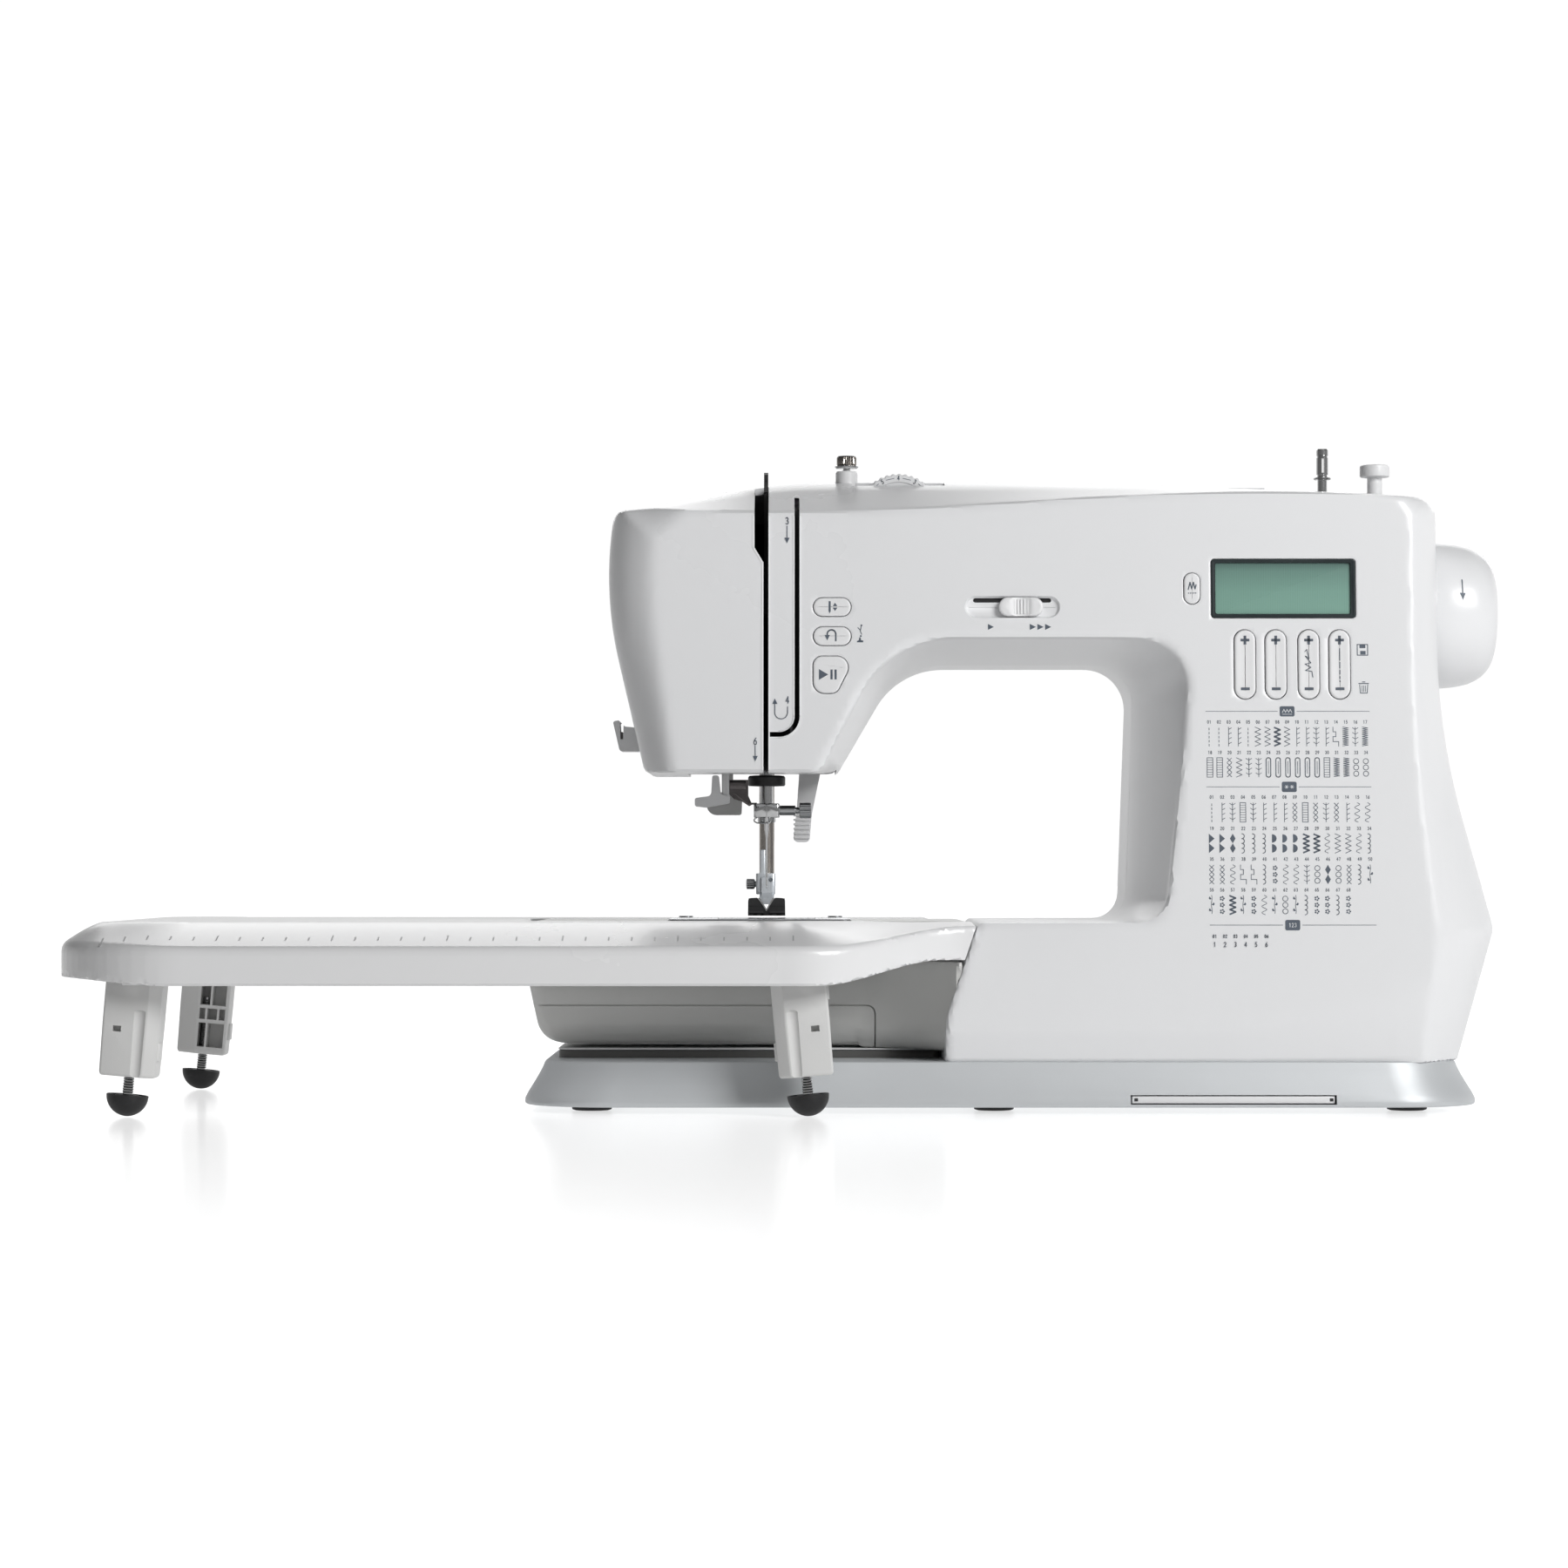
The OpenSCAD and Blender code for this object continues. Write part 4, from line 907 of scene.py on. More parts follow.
# painted highlight: a bright band round the plinth's top edge stands for its rim catching the light
rim_glint = rounded([[-106.3, -64.4, 9.4], [66, -64.4, 3.4], [66, 36.4, 3.4], [-106.3, 36.4, 9.4]], 8)
put(pad("plinth_rim_highlight", rim_glint, [(0.3, 26.3), (0, 26.5), (0, 26.85), (0.3, 27.05)]), "machine", "edge", ())
feet = []
for x in (-90, 90, 275):
    for y in (-80, 50):
        feet.append(lathe("f", [(0, 0), (7.6, 0), (8.8, 0.4), (9, 1.2), (9, 2.8), (0, 2.8)], 32, at(x, y, 0)))
put(join("base_pads", feet), "machine", "rubber", "base_feet")
card = union("reference_card", [block("a", (149.6, -108.6, 4.5), (239.4, 0, 5.9), 0.6, 0.2),
    block("a", (149.6, -109.2, 4.4), (239.4, -106.4, 7.6), 0.8, 0.3)])
paint(card, "table")
put(card, "reference_tray", None, "reference_tray")
ends = Ink()
for x in (151.5, 237.8):
    ends.rect(x, 6, 1.6, 1.4)
mark(ends, "card_end_marks", "reference_tray", at(0, -109.2, 0) @ TO_FRONT, "black")

# ---------------------------------------------------------------- extension table

LEFT = -323.4
TABLE_PLAN = rounded([[LEFT, -160, 57], [22, -160, 50], [62, -113.5, 50], [81.6, -113.5, 0], [81.6, -72, 0],
    [-124, -72, 4], [-124, 42, 4], [66, 42, 0], [66, 160, 30], [LEFT, 160, 57]], 14)
TABLE_EDGE = rounded([[LEFT, -160, 57], [22, -160, 50], [62, -113.5, 50], [300, -113.5, 0], [300, 160, 0],
    [LEFT, 160, 57]], 14)


def table_top(x, y):
    # the crown falls away over 54 mm at the front and back, and over 18 mm at the left end
    ux = np.maximum(LEFT + 57 - np.asarray(x), 0)
    uy = np.maximum(np.abs(y) - 103, 0)
    fall = 54 - 36 * ux / (np.hypot(ux, uy) + 1e-6)
    d = np.clip(-poly_sdf(TABLE_EDGE, x, y) / fall, 0, 1)
    edge = 73.8 + 9.2 * smoothstep(12, 78, x) * (np.asarray(y) < 0) + 1 * smoothstep(-250, -320, x)
    return edge + (84.6 - edge) * (1 - (1 - d) ** 1.35)


def table_field(x, y, z):
    top = (z - table_top(x, y)) * 0.97
    low = 57.5 + 10.3 * smoothstep(10, 66, x) * (y < 0) + 3 * smoothstep(-270, -322, x)
    f = round_max(poly_sdf(TABLE_PLAN, x, y), top, 2.6)
    return round_max(f, low - z, 0.8)


def table_hollow(x, y, z):
    f = np.maximum(poly_sdf(TABLE_PLAN, x, y) + 2.5, z - table_top(x, y) + 2.5)
    return np.maximum(f, 42 - z)


tab = add("table_shell", surface(table_field, (LEFT - 6, -166, 50), (92, 166, 92), 1.9,
    "table"), None)
boolean(tab, add("h", surface(table_hollow, (LEFT - 4, -164, 36), (90, 164, 88), 3.3, "h", 2), None))
boolean(tab, [box("c", (-126, -73.5, 40), (90, 43.5, 77)), prism("c", [(66.9, 42), (100, 42), (100, 86),
    (81.9, 86)], -170, -60)])
SPOTS = [[-286, -132, -1], [-286, 118, -1], [2, -132, 1], [2, 118, 1]]
lugs = []
for sx, sy, _ in SPOTS:
    for w in (-15, 12.6):
        lugs.append(block("l", (sx - 5, sy + w, 57.5), (sx + 5, sy + w + 2.4, 74.5), 0.8, 0.3))
    lugs.append(rod("l", "y", (sx, LEG_PIVOT_Z), sy - 14, sy + 14, 2))
shade(tab, 30)
put(tab, "table", "table", "extension_table")
put(join("table_hinges", lugs), "table", "table", ())
ticks = Ink()
for k in range(31):
    x = -300 + 10 * k
    ticks.rect(x, -145 + (1.2 if k % 5 == 0 else 0), 0.7, 9 if k % 5 == 0 else 6)
mark(ticks, "table_scale", "table", None, "ink_light", lift=0.05, sink=0.2, wrap=lambda x, y,
    z: (x, y, float(table_top(x, y)) + z))

for i, (sx, sy, sg) in enumerate(SPOTS):
    place = at(sx, sy, LEG_PIVOT_Z) @ Matrix.Rotation(math.radians(-sg * 5), 4, "Y")
    # u runs towards the machine's middle, v from the closed face to the open one
    mu, mv = -sg, (1 if sy < 0 else -1)

    def turned(pts):
        flip = [[mu * p[0], mv * p[1], p[2]] for p in pts]
        return flip if mu * mv > 0 else flip[::-1]

    def leg_box(u0, v0, z0, u1, v1, z1, r=0):
        lo = (min(mu * u0, mu * u1), min(mv * v0, mv * v1), z0)
        hi = (max(mu * u0, mu * u1), max(mv * v0, mv * v1), z1)
        return block("e", lo, hi, r, 0.3) if r else box("c", lo, hi)

    rings = []
    for z, hx, hy in ((-43.5, 11.1, 10.2), (-43, 11.6, 10.7), (-42, 11.9, 11.1), (-20, 12.2, 11.4),
            (2, 12.2, 11.5), (2.6, 11.9, 11.2), (3, 11.3, 10.6)):
        o = rounded(turned([[-hx, -hy, 1.2], [hx - 5, -hy, 1.5], [hx, -hy + 4, 1.5], [hx, hy, 1.2],
            [-hx + 9, hy, 1.2], [-hx, hy - 4, 1.5]]), 4)
        rings.append([(p[0], p[1], z) for p in o])
    leg = loft("leg_block_%d" % (i + 1), rings, 30, True, place)
    extra = [rod("e", "y", (0, 0), -11.2, 11.2, 6.5), leg_box(10, -5.5, -36, 13, 4.5, -28, 1),
        leg_box(-13, -4.5, -11, -10, 4.5, -4, 1)]
    boolean(leg, [seat(e, place) for e in extra], "UNION")
    cuts = [rod("c", "y", (0, 0), -20, 20, 2.3, 0.01), rod("c", "z", (0, 0), -50, -8, 2.85, 0.01),
        rod("c", "z", (mu * 3.9, -mv * 12.9), -47, -14, 2.9, 0.9), leg_box(-7.4, -20, -24.2, -3.8, -7, -21.6)]
    cuts += [leg_box(u0, v0, z0, u1, 20, z1) for u0, u1, v0, z0, z1 in ((-1.9, 2.9, -1, -19.4, -8),
        (3.9, 10.6, 1, -19.4, -8), (-1.9, 0.9, 5, -26.4, -21), (1.9, 6.7, 3, -26.4, -21),
        (7.7, 10.6, 5, -26.4, -21), (-1.9, 1.6, -1, -40, -28.2), (2.6, 10.6, 1, -40, -28.2))]
    boolean(leg, [seat(c, place) for c in cuts])
    shade(leg, 30)
    put(leg, "leg_%d" % (i + 1), "leg", "leg_%d" % (i + 1))
    stud = lathe("screw_stud_%d" % (i + 1), [(0, -53), (2.45, -53)] + [(2.45 - 0.35 * (k % 2),
        -52.5 + 0.55 * k) for k in range(66)] + [(2, -16), (0, -16)], 28, place)
    put(stud, "leg_foot_%d" % (i + 1), "chrome", "leg_foot_%d" % (i + 1))
    prof = [(0, -61.15)] + [(9.15 * math.sin(t), -52 - 9.15 * math.cos(t)) for t in np.linspace(0.12,
        math.pi / 2 - 0.02, 14)]
    prof += [(9.2, -52), (9, -51.75), (8.5, -51.7), (8.1, -52.3), (5.2, -52.3), (4.9, -51.7), (0, -51.7)]
    cap = lathe("screw_foot_%d" % (i + 1), prof, 48, place)
    put(cap, "leg_foot_%d" % (i + 1), "rubber", ())

# ---------------------------------------------------------------- handwheel

R = 33.6
wheel_prof = [(6, 296), (11.5, 296), (11.5, 292.6), (R - 1, 292.6), (R - 0.3, 292.9), (R, 293.6), (R, 300),
    (R - 0.35, 304), (R - 1, 308), (R - 2, 312), (R - 3.4, 315), (R - 5.2, 317.8), (R - 7.6, 320.2),
    (R - 10.5, 321.9), (R - 13.6, 322.9), (R - 16.2, 323.3), (10, 323.4), (0, 323.4), (0, 320.2),
    (R - 15, 320.2), (R - 9, 316.6), (R - 5, 310.8), (R - 3.2, 302), (R - 3, 297), (14.5, 297), (14.5, 304.2),
    (6, 304.2), (6, 296)]
verts, faces = [], []
nn = 96
for r, x in wheel_prof[:-1]:
    for k in range(nn):
        t = 2 * math.pi * k / nn
        verts.append((x, WHEEL_Y - r * math.sin(t), WHEEL_Z + r * math.cos(t)))
mm = len(wheel_prof) - 1
for a in range(mm):
    for k in range(nn):
        faces.append((a * nn + k, a * nn + (k + 1) % nn, ((a + 1) % mm) * nn + (k + 1) % nn,
            ((a + 1) % mm) * nn + k))
wheel = build("handwheel_rim", verts, faces, 40)
put(wheel, "main_shaft", "casing", "handwheel")
arrow = Ink()
arrow.line([(0, y) for y in np.linspace(4.6, -2, 12)], 0.6).poly([(-1.4, -1.8), (1.4, -1.8), (0, -5.2)])


def on_wheel(x, y, z):
    a = (y + 10.4) / 32.4
    radii = [R, R - 0.35, R - 1, R - 2, R - 3.4, R - 5.2]
    rr = float(np.interp(305 + x, [300, 304, 308, 312, 315, 317.8], radii)) + z
    return (305 + x, WHEEL_Y - rr * math.cos(a), WHEEL_Z + rr * math.sin(a))


mark(arrow, "wheel_arrow", "main_shaft", None, lift=0.06, sink=0.1, wrap=on_wheel)

# ---------------------------------------------------------------- controls on the front


def button(name, outline, x, z, body, dish=0, rise=0.6):
    """Push button: a stem with a retaining flange, a rounded rim and a slightly domed or dished top."""
    o = np.asarray(outline)
    prof = [(-0.9, -5.4), (-0.9, -4.3), (0, -4.3), (0, rise - 0.55), (0.12, rise - 0.25), (0.4, rise - 0.06),
        (0.8, rise), (1.8, rise - dish * 0.4), (2.9, rise - dish)]
    ob = pad(name, o, prof, on_face(x, z), 40)
    return put(ob, body, "key", body)


def legend(name, ink, x, z, body, height=0.62):
    mark(ink, name, body, on_face(x, z) @ at(0, 0, height))


button("needle_up_down_button", pill(16.6, 8.1), 17.4, 224.4, "needle_button")
button("backstitch_button", pill(16.6, 8.1), 17.4, 211.4, "reverse_button")
button("start_stop_button", START, 16.7, 194.2, "start_button")
button("pattern_mode_button", pill(7, 13.7), 177.4, 232.7, "mode_button")
n1 = Ink().rect(-1.1, -0.9, 0.9, 2.6).poly([(-1.55, 0.4), (-0.65, 0.4), (-0.65, 2.5), (-1.55, 2.5)])
n1.poly([(-1.4, -2.2), (-0.8, -2.2), (-1.1, -3)]).poly([(0.3, 0.3), (2.3, 0.3), (1.3, 1.8)])
n1.poly([(0.3, -0.4), (2.3, -0.4), (1.3, -1.9)])
legend("needle_icon", n1, 17.4, 224.4, "needle_button")
n2 = Ink().poly([(-3, 0.4), (-0.6, 0.4), (-1.8, -2)]).line([(-1.8, 0.4), (-1.8, 0.8)], 0.65)
n2.arc(0.1, 0.8, 1.9, 180, 0, 0.65, 12).line([(2, 0.8), (2, -2.2)], 0.65)
legend("backstitch_icon", n2, 17, 211.4, "reverse_button")
n3 = Ink().poly([(-4.4, -2.4), (-4.4, 2.4), (-0.3, 0)]).rect(1.2, 0, 0.95, 4.4).rect(3, 0, 0.95, 4.4)
legend("start_icon", n3, 15.9, 194.2, "start_button")
n4 = Ink().line([(-1.7, -0.6), (-0.9, 2.6), (-0.2, -0.3), (0.6, 2.6), (1.3, -0.3), (1.8, 1.5)], 0.5)
for k in range(5):
    n4.disc(-1.6 + 0.8 * k, -2.2, 0.28, 8)
legend("pattern_icon", n4, 177.4, 232.7, "mode_button")
n5 = Ink().line([(0.6, 4), (0.2, 1.6), (0.8, 0.2)], 0.4).line([(-0.9, 3.2), (0.3, 1.9)], 0.35)
n5.disc(0.7, 4.2, 0.45, 8)
n5.poly([(-1.3, -3.4), (1.5, -3.4), (1.5, -2.6), (0.5, -2.4), (0.3, -1.2), (-0.3, -1.2), (-0.5, -2.5),
    (-1.3, -2.8)])
n5.rect(0.4, -0.6, 0.8, 0.7)
mark(n5, "foot_mark", "machine", on_face(29.7, 212))

for k, x in enumerate(KEYS):
    body = "key_%d" % (k + 1)
    o = pill(9.2, 30.7)
    prof = [(-0.3, -4.4), (0, -4.2), (0, 0.05), (0.12, 0.35), (0.4, 0.54), (0.9, 0.6), (2.2, 0.45), (3.4, 0.38)]
    ob = pad("rocker_key_%d" % (k + 1), o, prof, on_face(x, KEY_Z), 40)
    axle = drum(1.2, -4.4, 4.4, 20, on_face(x, KEY_Z) @ at(0, 0, -4.6) @ TURN_X)
    put(union(ob.name, [ob, axle], 40), body, "key", body)
    ink = Ink().rect(0, 10.8, 3.9, 1.15).rect(0, 10.8, 1.15, 3.9).rect(0, -11, 3.9, 1.2)
    if k == 2:
        ink.line([(-1.8, 5.6), (-0.9, 6.6), (0.1, 2.6), (-1.5, 3.6), (0.9, 0.6), (-1.7, 0), (0.9, -1.4),
            (-1.5, -2.8), (1.3, -3.2), (1.7, -5.8)], 0.32)
    if k == 3:
        ink.rect(0, 4.4, 0.4, 5.6).rect(0, -0.4, 0.4, 2.8).rect(0, -3.6, 0.4, 2).rect(0, -6, 0.4, 1.2).rect(0,
            -7.6, 0.4, 0.7)
    legend("key_%d_marks" % (k + 1), ink, x, KEY_Z, body, 0.5)

# speed slider: ribbed, concave knob on a neck that goes through the slot
knob = pad("speed_knob", pill(19.8, 8.3, 12), [(0.5, -1.3), (0, -0.9), (0, 1.2), (0.3, 1.8), (0.9, 2.1),
    (1.6, 2.1)], on_face(SLIDER_X, SLIDER_Z), 40)
dish = drum(9.2, -9, 9, 64, on_face(SLIDER_X, SLIDER_Z) @ at(0, 0, 10.1) @ TURN_Y)
boolean(knob, dish)
bars = [seat(block("r", (d - 0.35, -3.2, 0.2), (d + 0.35, 3.2, 1.5), 0.3, 0.15),
    on_face(SLIDER_X, SLIDER_Z)) for d in (-3, -1.5, 0, 1.5, 3)]
neck = seat(box("n", (-2, -0.7, -8), (2, 0.7, -1)), on_face(SLIDER_X, SLOT_Z))
boolean(knob, bars + [neck], "UNION")
shade(knob, 32)
put(knob, "speed_slider", "key", "speed_slider")
slot_back = pad("slider_track", pill(36.5, 3.4, 4), [(0, -3.4), (0, -2.6)], on_face(SLOT_X, SLOT_Z))
put(slot_back, "machine", "liner", ())
sm = Ink()
for x, tip in ((-10.9, 2.6), (7.7, 2.7), (11.1, 2.7), (14.5, 2.7)):
    sm.poly([(x, -10.3), (x, -7.6), (x + tip, -8.95)])
mark(sm, "speed_marks", "machine", on_face(SLOT_X, SLIDER_Z))

# display
bez = pad("display_bezel", LCD_RIM, [(0.1, -3.6), (0.1, -0.25), (0.35, -0.02), (0.7, 0.02), (1.3, -0.1)],
    on_face(*LCD), 30)
boolean(bez, pad("c", round_rect(-30.2, -11.2, 29.6, 11.5, 0.8, 4), [(0, -5), (0, -1.3), (-0.5, 1)],
    on_face(*LCD)))
shade(bez, 30)
put(bez, "machine", "bezel", ())
glass = pad("display_glass", round_rect(-31.2, -12.2, 30.8, 12.4, 1, 4), [(0.2, -3), (0, -2.8), (0, -1.5),
    (0.3, -1.25), (1, -1.2)], on_face(*LCD), 30)
put(glass, "machine", "lcd", "lcd_window")


def to_mm(px, py):
    """Place on the front panel of a mark given on a square layout sheet of the whole front view."""
    z = VIEW_Z - (py - SHEET / 2 - HORIZON_SHIFT) / 2.588
    for _ in range(3):
        s = FOCAL / (VIEW_Y + face_y(z))
        z = VIEW_Z - (py - SHEET / 2 - HORIZON_SHIFT) / s
    return (px - SHEET / 2) / s - VIEW_X, z


CHART = (225, 150)
UP = 1 / math.cos(TILT)


def chart_xy(px, py):
    x, z = to_mm(px, py)
    return x - CHART[0], (z - CHART[1]) * UP


chart, light = Ink(), Ink()
for py, x0, x1, cx in ((816.6, 1384, 1572, 1477.5), (903.3, 1385, 1574, 1480), (1062, 1389, 1580, 1484)):
    a, b = chart_xy(x0, py), chart_xy(x1, py)
    c = chart_xy(cx, py)
    chart.line([a, (c[0] - 4.3, a[1])], 0.22).line([(c[0] + 4.3, a[1]), b], 0.22)
    chart.poly(rounded([[c[0] - 3.3, c[1] - 2.3, 0.7], [c[0] + 3.3, c[1] - 2.3, 0.7],
        [c[0] + 3.3, c[1] + 2.3, 0.7], [c[0] - 3.3, c[1] + 2.3, 0.7]], 3))
    if py < 850:
        light.line([(c[0] - 2.1 + 0.7 * k, c[1] + (0.9 if k % 2 else -0.5)) for k in range(7)], 0.28)
        light.line([(c[0] - 2.1, c[1] - 1.3), (c[0] + 2.1, c[1] - 1.3)], 0.2)
    elif py < 1000:
        for s in (-1.2, 1.2):
            for t in (0, 60, 120):
                light.line([(c[0] + s - 0.8 * math.cos(math.radians(t)),
                    c[1] - 0.8 * math.sin(math.radians(t))), (c[0] + s + 0.8 * math.cos(math.radians(t)),
                    c[1] + 0.8 * math.sin(math.radians(t)))], 0.24)
    else:
        light.digits("123", c[0], c[1], 1.7, 0.28)


def icon(kind, cx, cy):
    """One small stitch picture, 3 mm wide and 9 mm tall."""
    h, w = 4.3, 1.25
    rows = np.linspace(h, -h, 9)

    def line(pts, width, closed=False):
        chart.line([(cx + x, cy + y) for x, y in pts], width, closed)

    def shape(pts):
        chart.poly([(cx + x, cy + y) for x, y in pts])

    def zigzag(ys, width):
        line([(w if k % 2 else -w, y) for k, y in enumerate(ys)], width)

    if kind == 0:
        for k in range(5):
            chart.rect(cx, cy + h - 0.9 - k * 1.8, 0.32, 1.1)
    elif kind == 1:
        zigzag(rows, 0.3)
    elif kind == 2:
        chart.rect(cx, cy, 0.28, 2 * h)
        for y in rows[1::2]:
            line([(0, y), (w, y + 0.7)], 0.3)
    elif kind == 3:
        line([(-w, -h), (-w, h), (w, h), (w, -h)], 0.3, True)
        for y in rows[1:8]:
            line([(-w, y), (w, y)], 0.2)
    elif kind == 4:
        line(round_rect(-1, -h, 1, h, 0.9, 4), 0.42, True)
        chart.rect(cx, cy, 0.25, 5.6)
    elif kind == 5:
        for s in (1, -1):
            shape([(-w, s * h), (w, s * h / 2), (-w, 0)])
    elif kind == 6:
        for s in (1, -1):
            shape([(0, s * h), (w, s * h / 2), (0, 0), (-w, s * h / 2)])
    elif kind == 7:
        for k in range(3):
            chart.arc(cx, cy + 2.8 - 2.8 * k, 1.15, 0, 360, 0.3, 13)
    elif kind == 8:
        for k in range(4):
            chart.arc(cx - 0.6, cy + 3.2 - 2.15 * k, 1.1, 90, -90, 0.36, 8)
    elif kind == 9:
        line([(1.1 * math.sin(t * 1.6), h - t * 2 * h / 12) for t in np.linspace(0, 12, 30)], 0.26)
    elif kind == 10:
        chart.rect(cx, cy, 0.3, 2 * h)
        for y in rows[1::2]:
            line([(-w, y + 0.8), (0, y), (w, y + 0.8)], 0.26)
    elif kind == 11:
        for k in range(4):
            y = 3.2 - 2.15 * k
            for s in (-0.95, 0.95):
                line([(-0.95, y + s), (0.95, y - s)], 0.3)
    elif kind == 12:
        for s in (1, -1):
            shape([(-w + 2.1 * math.sin(a), s * 2.2 + 1.9 * math.cos(a)) for a in np.radians(np.linspace(0, 180,
                9))])
    elif kind == 13:
        line([(0.15 * math.sin(k), h - k * 0.9) for k in range(10)], 0.26)
        for k, s in enumerate((-1, 1, -1)):
            y = 2.6 - 2.6 * k
            shape([(0, y), (s * 0.9, y + 1.2), (s * 1.3, y + 0.4), (s * 0.9, y - 0.2)])
    elif kind == 14:
        for k in range(3):
            for a in np.radians(range(0, 360, 72)):
                chart.disc(cx + 0.75 * math.cos(a), cy + 2.9 - 2.9 * k + 0.75 * math.sin(a), 0.42, 7)
    elif kind == 15:
        line([(-w, h), (-w, 2.2), (0, 2.2), (0, 0), (-w, 0), (-w, -2.2), (w, -2.2), (w, -h)], 0.3)
    elif kind == 16:
        zigzag([h - 0.42 * k for k in range(21)], 0.3)
    elif kind == 17:
        zigzag(rows * 0.95, 0.75)


ROWS = [
    (845.7, 1388, 1567, [0, 0, 2, 2, 0, 1, 1, 17, 1, 2, 2, 10, 2, 15, 16, 10, 16]),
    (881, 1389, 1568, [3, 3, 11, 1, 10, 10, 4, 4, 4, 4, 4, 4, 3, 16, 16, 7, 7]),
    (932.6, 1391, 1570, [0, 2, 10, 3, 10, 2, 2, 2, 11, 3, 11, 10, 11, 2, 9, 9]),
    (968.2, 1391, 1572, [5, 5, 6, 8, 8, 8, 12, 12, 12, 17, 17, 9, 1, 1, 9, 8]),
    (1003.9, 1391, 1573, [11, 11, 9, 15, 15, 8, 14, 9, 9, 10, 7, 6, 7, 11, 8, 13]),
    (1038.9, 1391, 1548, [13, 14, 17, 13, 14, 9, 13, 7, 13, 8, 14, 14, 8, 14]),
]
for py, x0, x1, kinds in ROWS:
    for k, kind in enumerate(kinds):
        x, y = chart_xy(x0 + (x1 - x0) * k / (len(kinds) - 1), py)
        icon(kind, x, y)
NUMBER_ROWS = [(1, 17, 828.8, 1388, 1567), (18, 17, 863.8, 1389, 1568), (1, 16, 915, 1391, 1570),
               (19, 16, 951, 1391, 1572), (35, 16, 986.2, 1391, 1573), (55, 14, 1021.5, 1391, 1548),
               (1, 6, 1074.8, 1394.5, 1454)]
for first, count, py, x0, x1 in NUMBER_ROWS:
    for k in range(count):
        x, y = chart_xy(x0 + (x1 - x0) * k / (count - 1), py)
        chart.digits("%02d" % (first + k), x, y, 1.35, 0.24)
for k in range(6):
    x, y = chart_xy(1394.5 + 11.9 * k, 1084.2)
    chart.digits(str(k + 1), x, y, 2, 0.26)
# small pictures beside the rocker keys
c = chart_xy(1564, 746)
chart.line([(c[0] - 2.3, c[1] - 2.4), (c[0] + 2.3, c[1] - 2.4), (c[0] + 2.3, c[1] + 2.4),
    (c[0] - 2.3, c[1] + 2.4)], 0.4, True)
chart.rect(c[0], c[1] + 1.5, 2.6, 1.5).rect(c[0] + 0.2, c[1] - 1.3, 2.4, 1.6)
c = chart_xy(1565.5, 789)
chart.line([(c[0] - 1.8, c[1] + 1.2), (c[0] - 1.5, c[1] - 2.6), (c[0] + 1.5, c[1] - 2.6),
    (c[0] + 1.8, c[1] + 1.2)], 0.36)
chart.rect(c[0], c[1] + 1.7, 4.6, 0.45).rect(c[0], c[1] + 2.4, 1.4, 0.4)
for d in (-0.7, 0, 0.7):
    chart.rect(c[0] + d, c[1] - 0.6, 0.28, 2.9)
mark(chart, "stitch_chart", "machine", on_face(*CHART), lift=0.05)
mark(light, "chart_badge_marks", "machine", on_face(*CHART), "ink_white", lift=0.1)

# painted highlights: bright strips along the rounded edges of the thread slots
edge = Ink()


def along_face(pts):
    return [(x, (z - 200) / math.cos(TILT)) for x, z in pts]


edge.line(along_face([(SLOT_L[0] - 0.3, 152), (SLOT_L[0] - 0.3, 244.2), (SLOT_L_TOP - 0.3, 250.9),
    (SLOT_L_TOP - 0.3, 265)]), 0.7)
edge.line(along_face([(SLOT_L[1] + 0.3, 152), (SLOT_L[1] + 0.3, 265)]), 0.6)
for x, z, rad in ((SLOT_R[1] + 0.3, PANEL_END - 2.5, 9.5), (SLOT_R[0] - 0.3, PANEL_END + 0.3, 6.7)):
    edge.line(along_face(rounded([[-10.4, z, 0], [x, z, rad], [x, 265, 0]], 14)), 0.6)
mark(edge, "slot_edge_highlights", "machine", on_face(0, 200), "edge", lift=0.28, sink=0.3)

# threading order beside the slots
guide = Ink()


def spot(px, py):
    x, z = to_mm(px, py)
    return x + 5, (z - 210) * UP


a = spot(903.5, 598)
guide.digits("3", a[0], a[1], 3, 0.36).line([spot(903.5, 604), spot(903.5, 617)], 0.32)
a = spot(903.5, 622)
guide.poly([(a[0] - 1.1, a[1] + 1.8), (a[0] + 1.1, a[1] + 1.8), (a[0], a[1] - 0.6)])
a = spot(904, 803.5)
guide.digits("4", a[0], a[1], 3, 0.36)
a, b = spot(889.5, 806), spot(889.5, 818)
guide.line([a, b], 0.34).poly([(a[0] - 1.1, a[1] - 0.8), (a[0] + 1.1, a[1] - 0.8), (a[0], a[1] + 1.6)])
c = spot(896.8, 818)
guide.arc(c[0], c[1], 2.85, 180, 360, 0.34, 12).line([(c[0] + 2.85, c[1]), (c[0] + 2.85, c[1] + 2.6)], 0.34)
a = spot(867, 851)
guide.digits("6", a[0], a[1], 3, 0.36).line([spot(867, 856), spot(867, 868)], 0.32)
a = spot(867, 872)
guide.poly([(a[0] - 1.1, a[1] + 1.6), (a[0] + 1.1, a[1] + 1.6), (a[0], a[1] - 0.8)])
mark(guide, "threading_marks", "machine", on_face(-5, 210), lift=0.25, sink=0.1)

# ---------------------------------------------------------------- top fittings and thread path

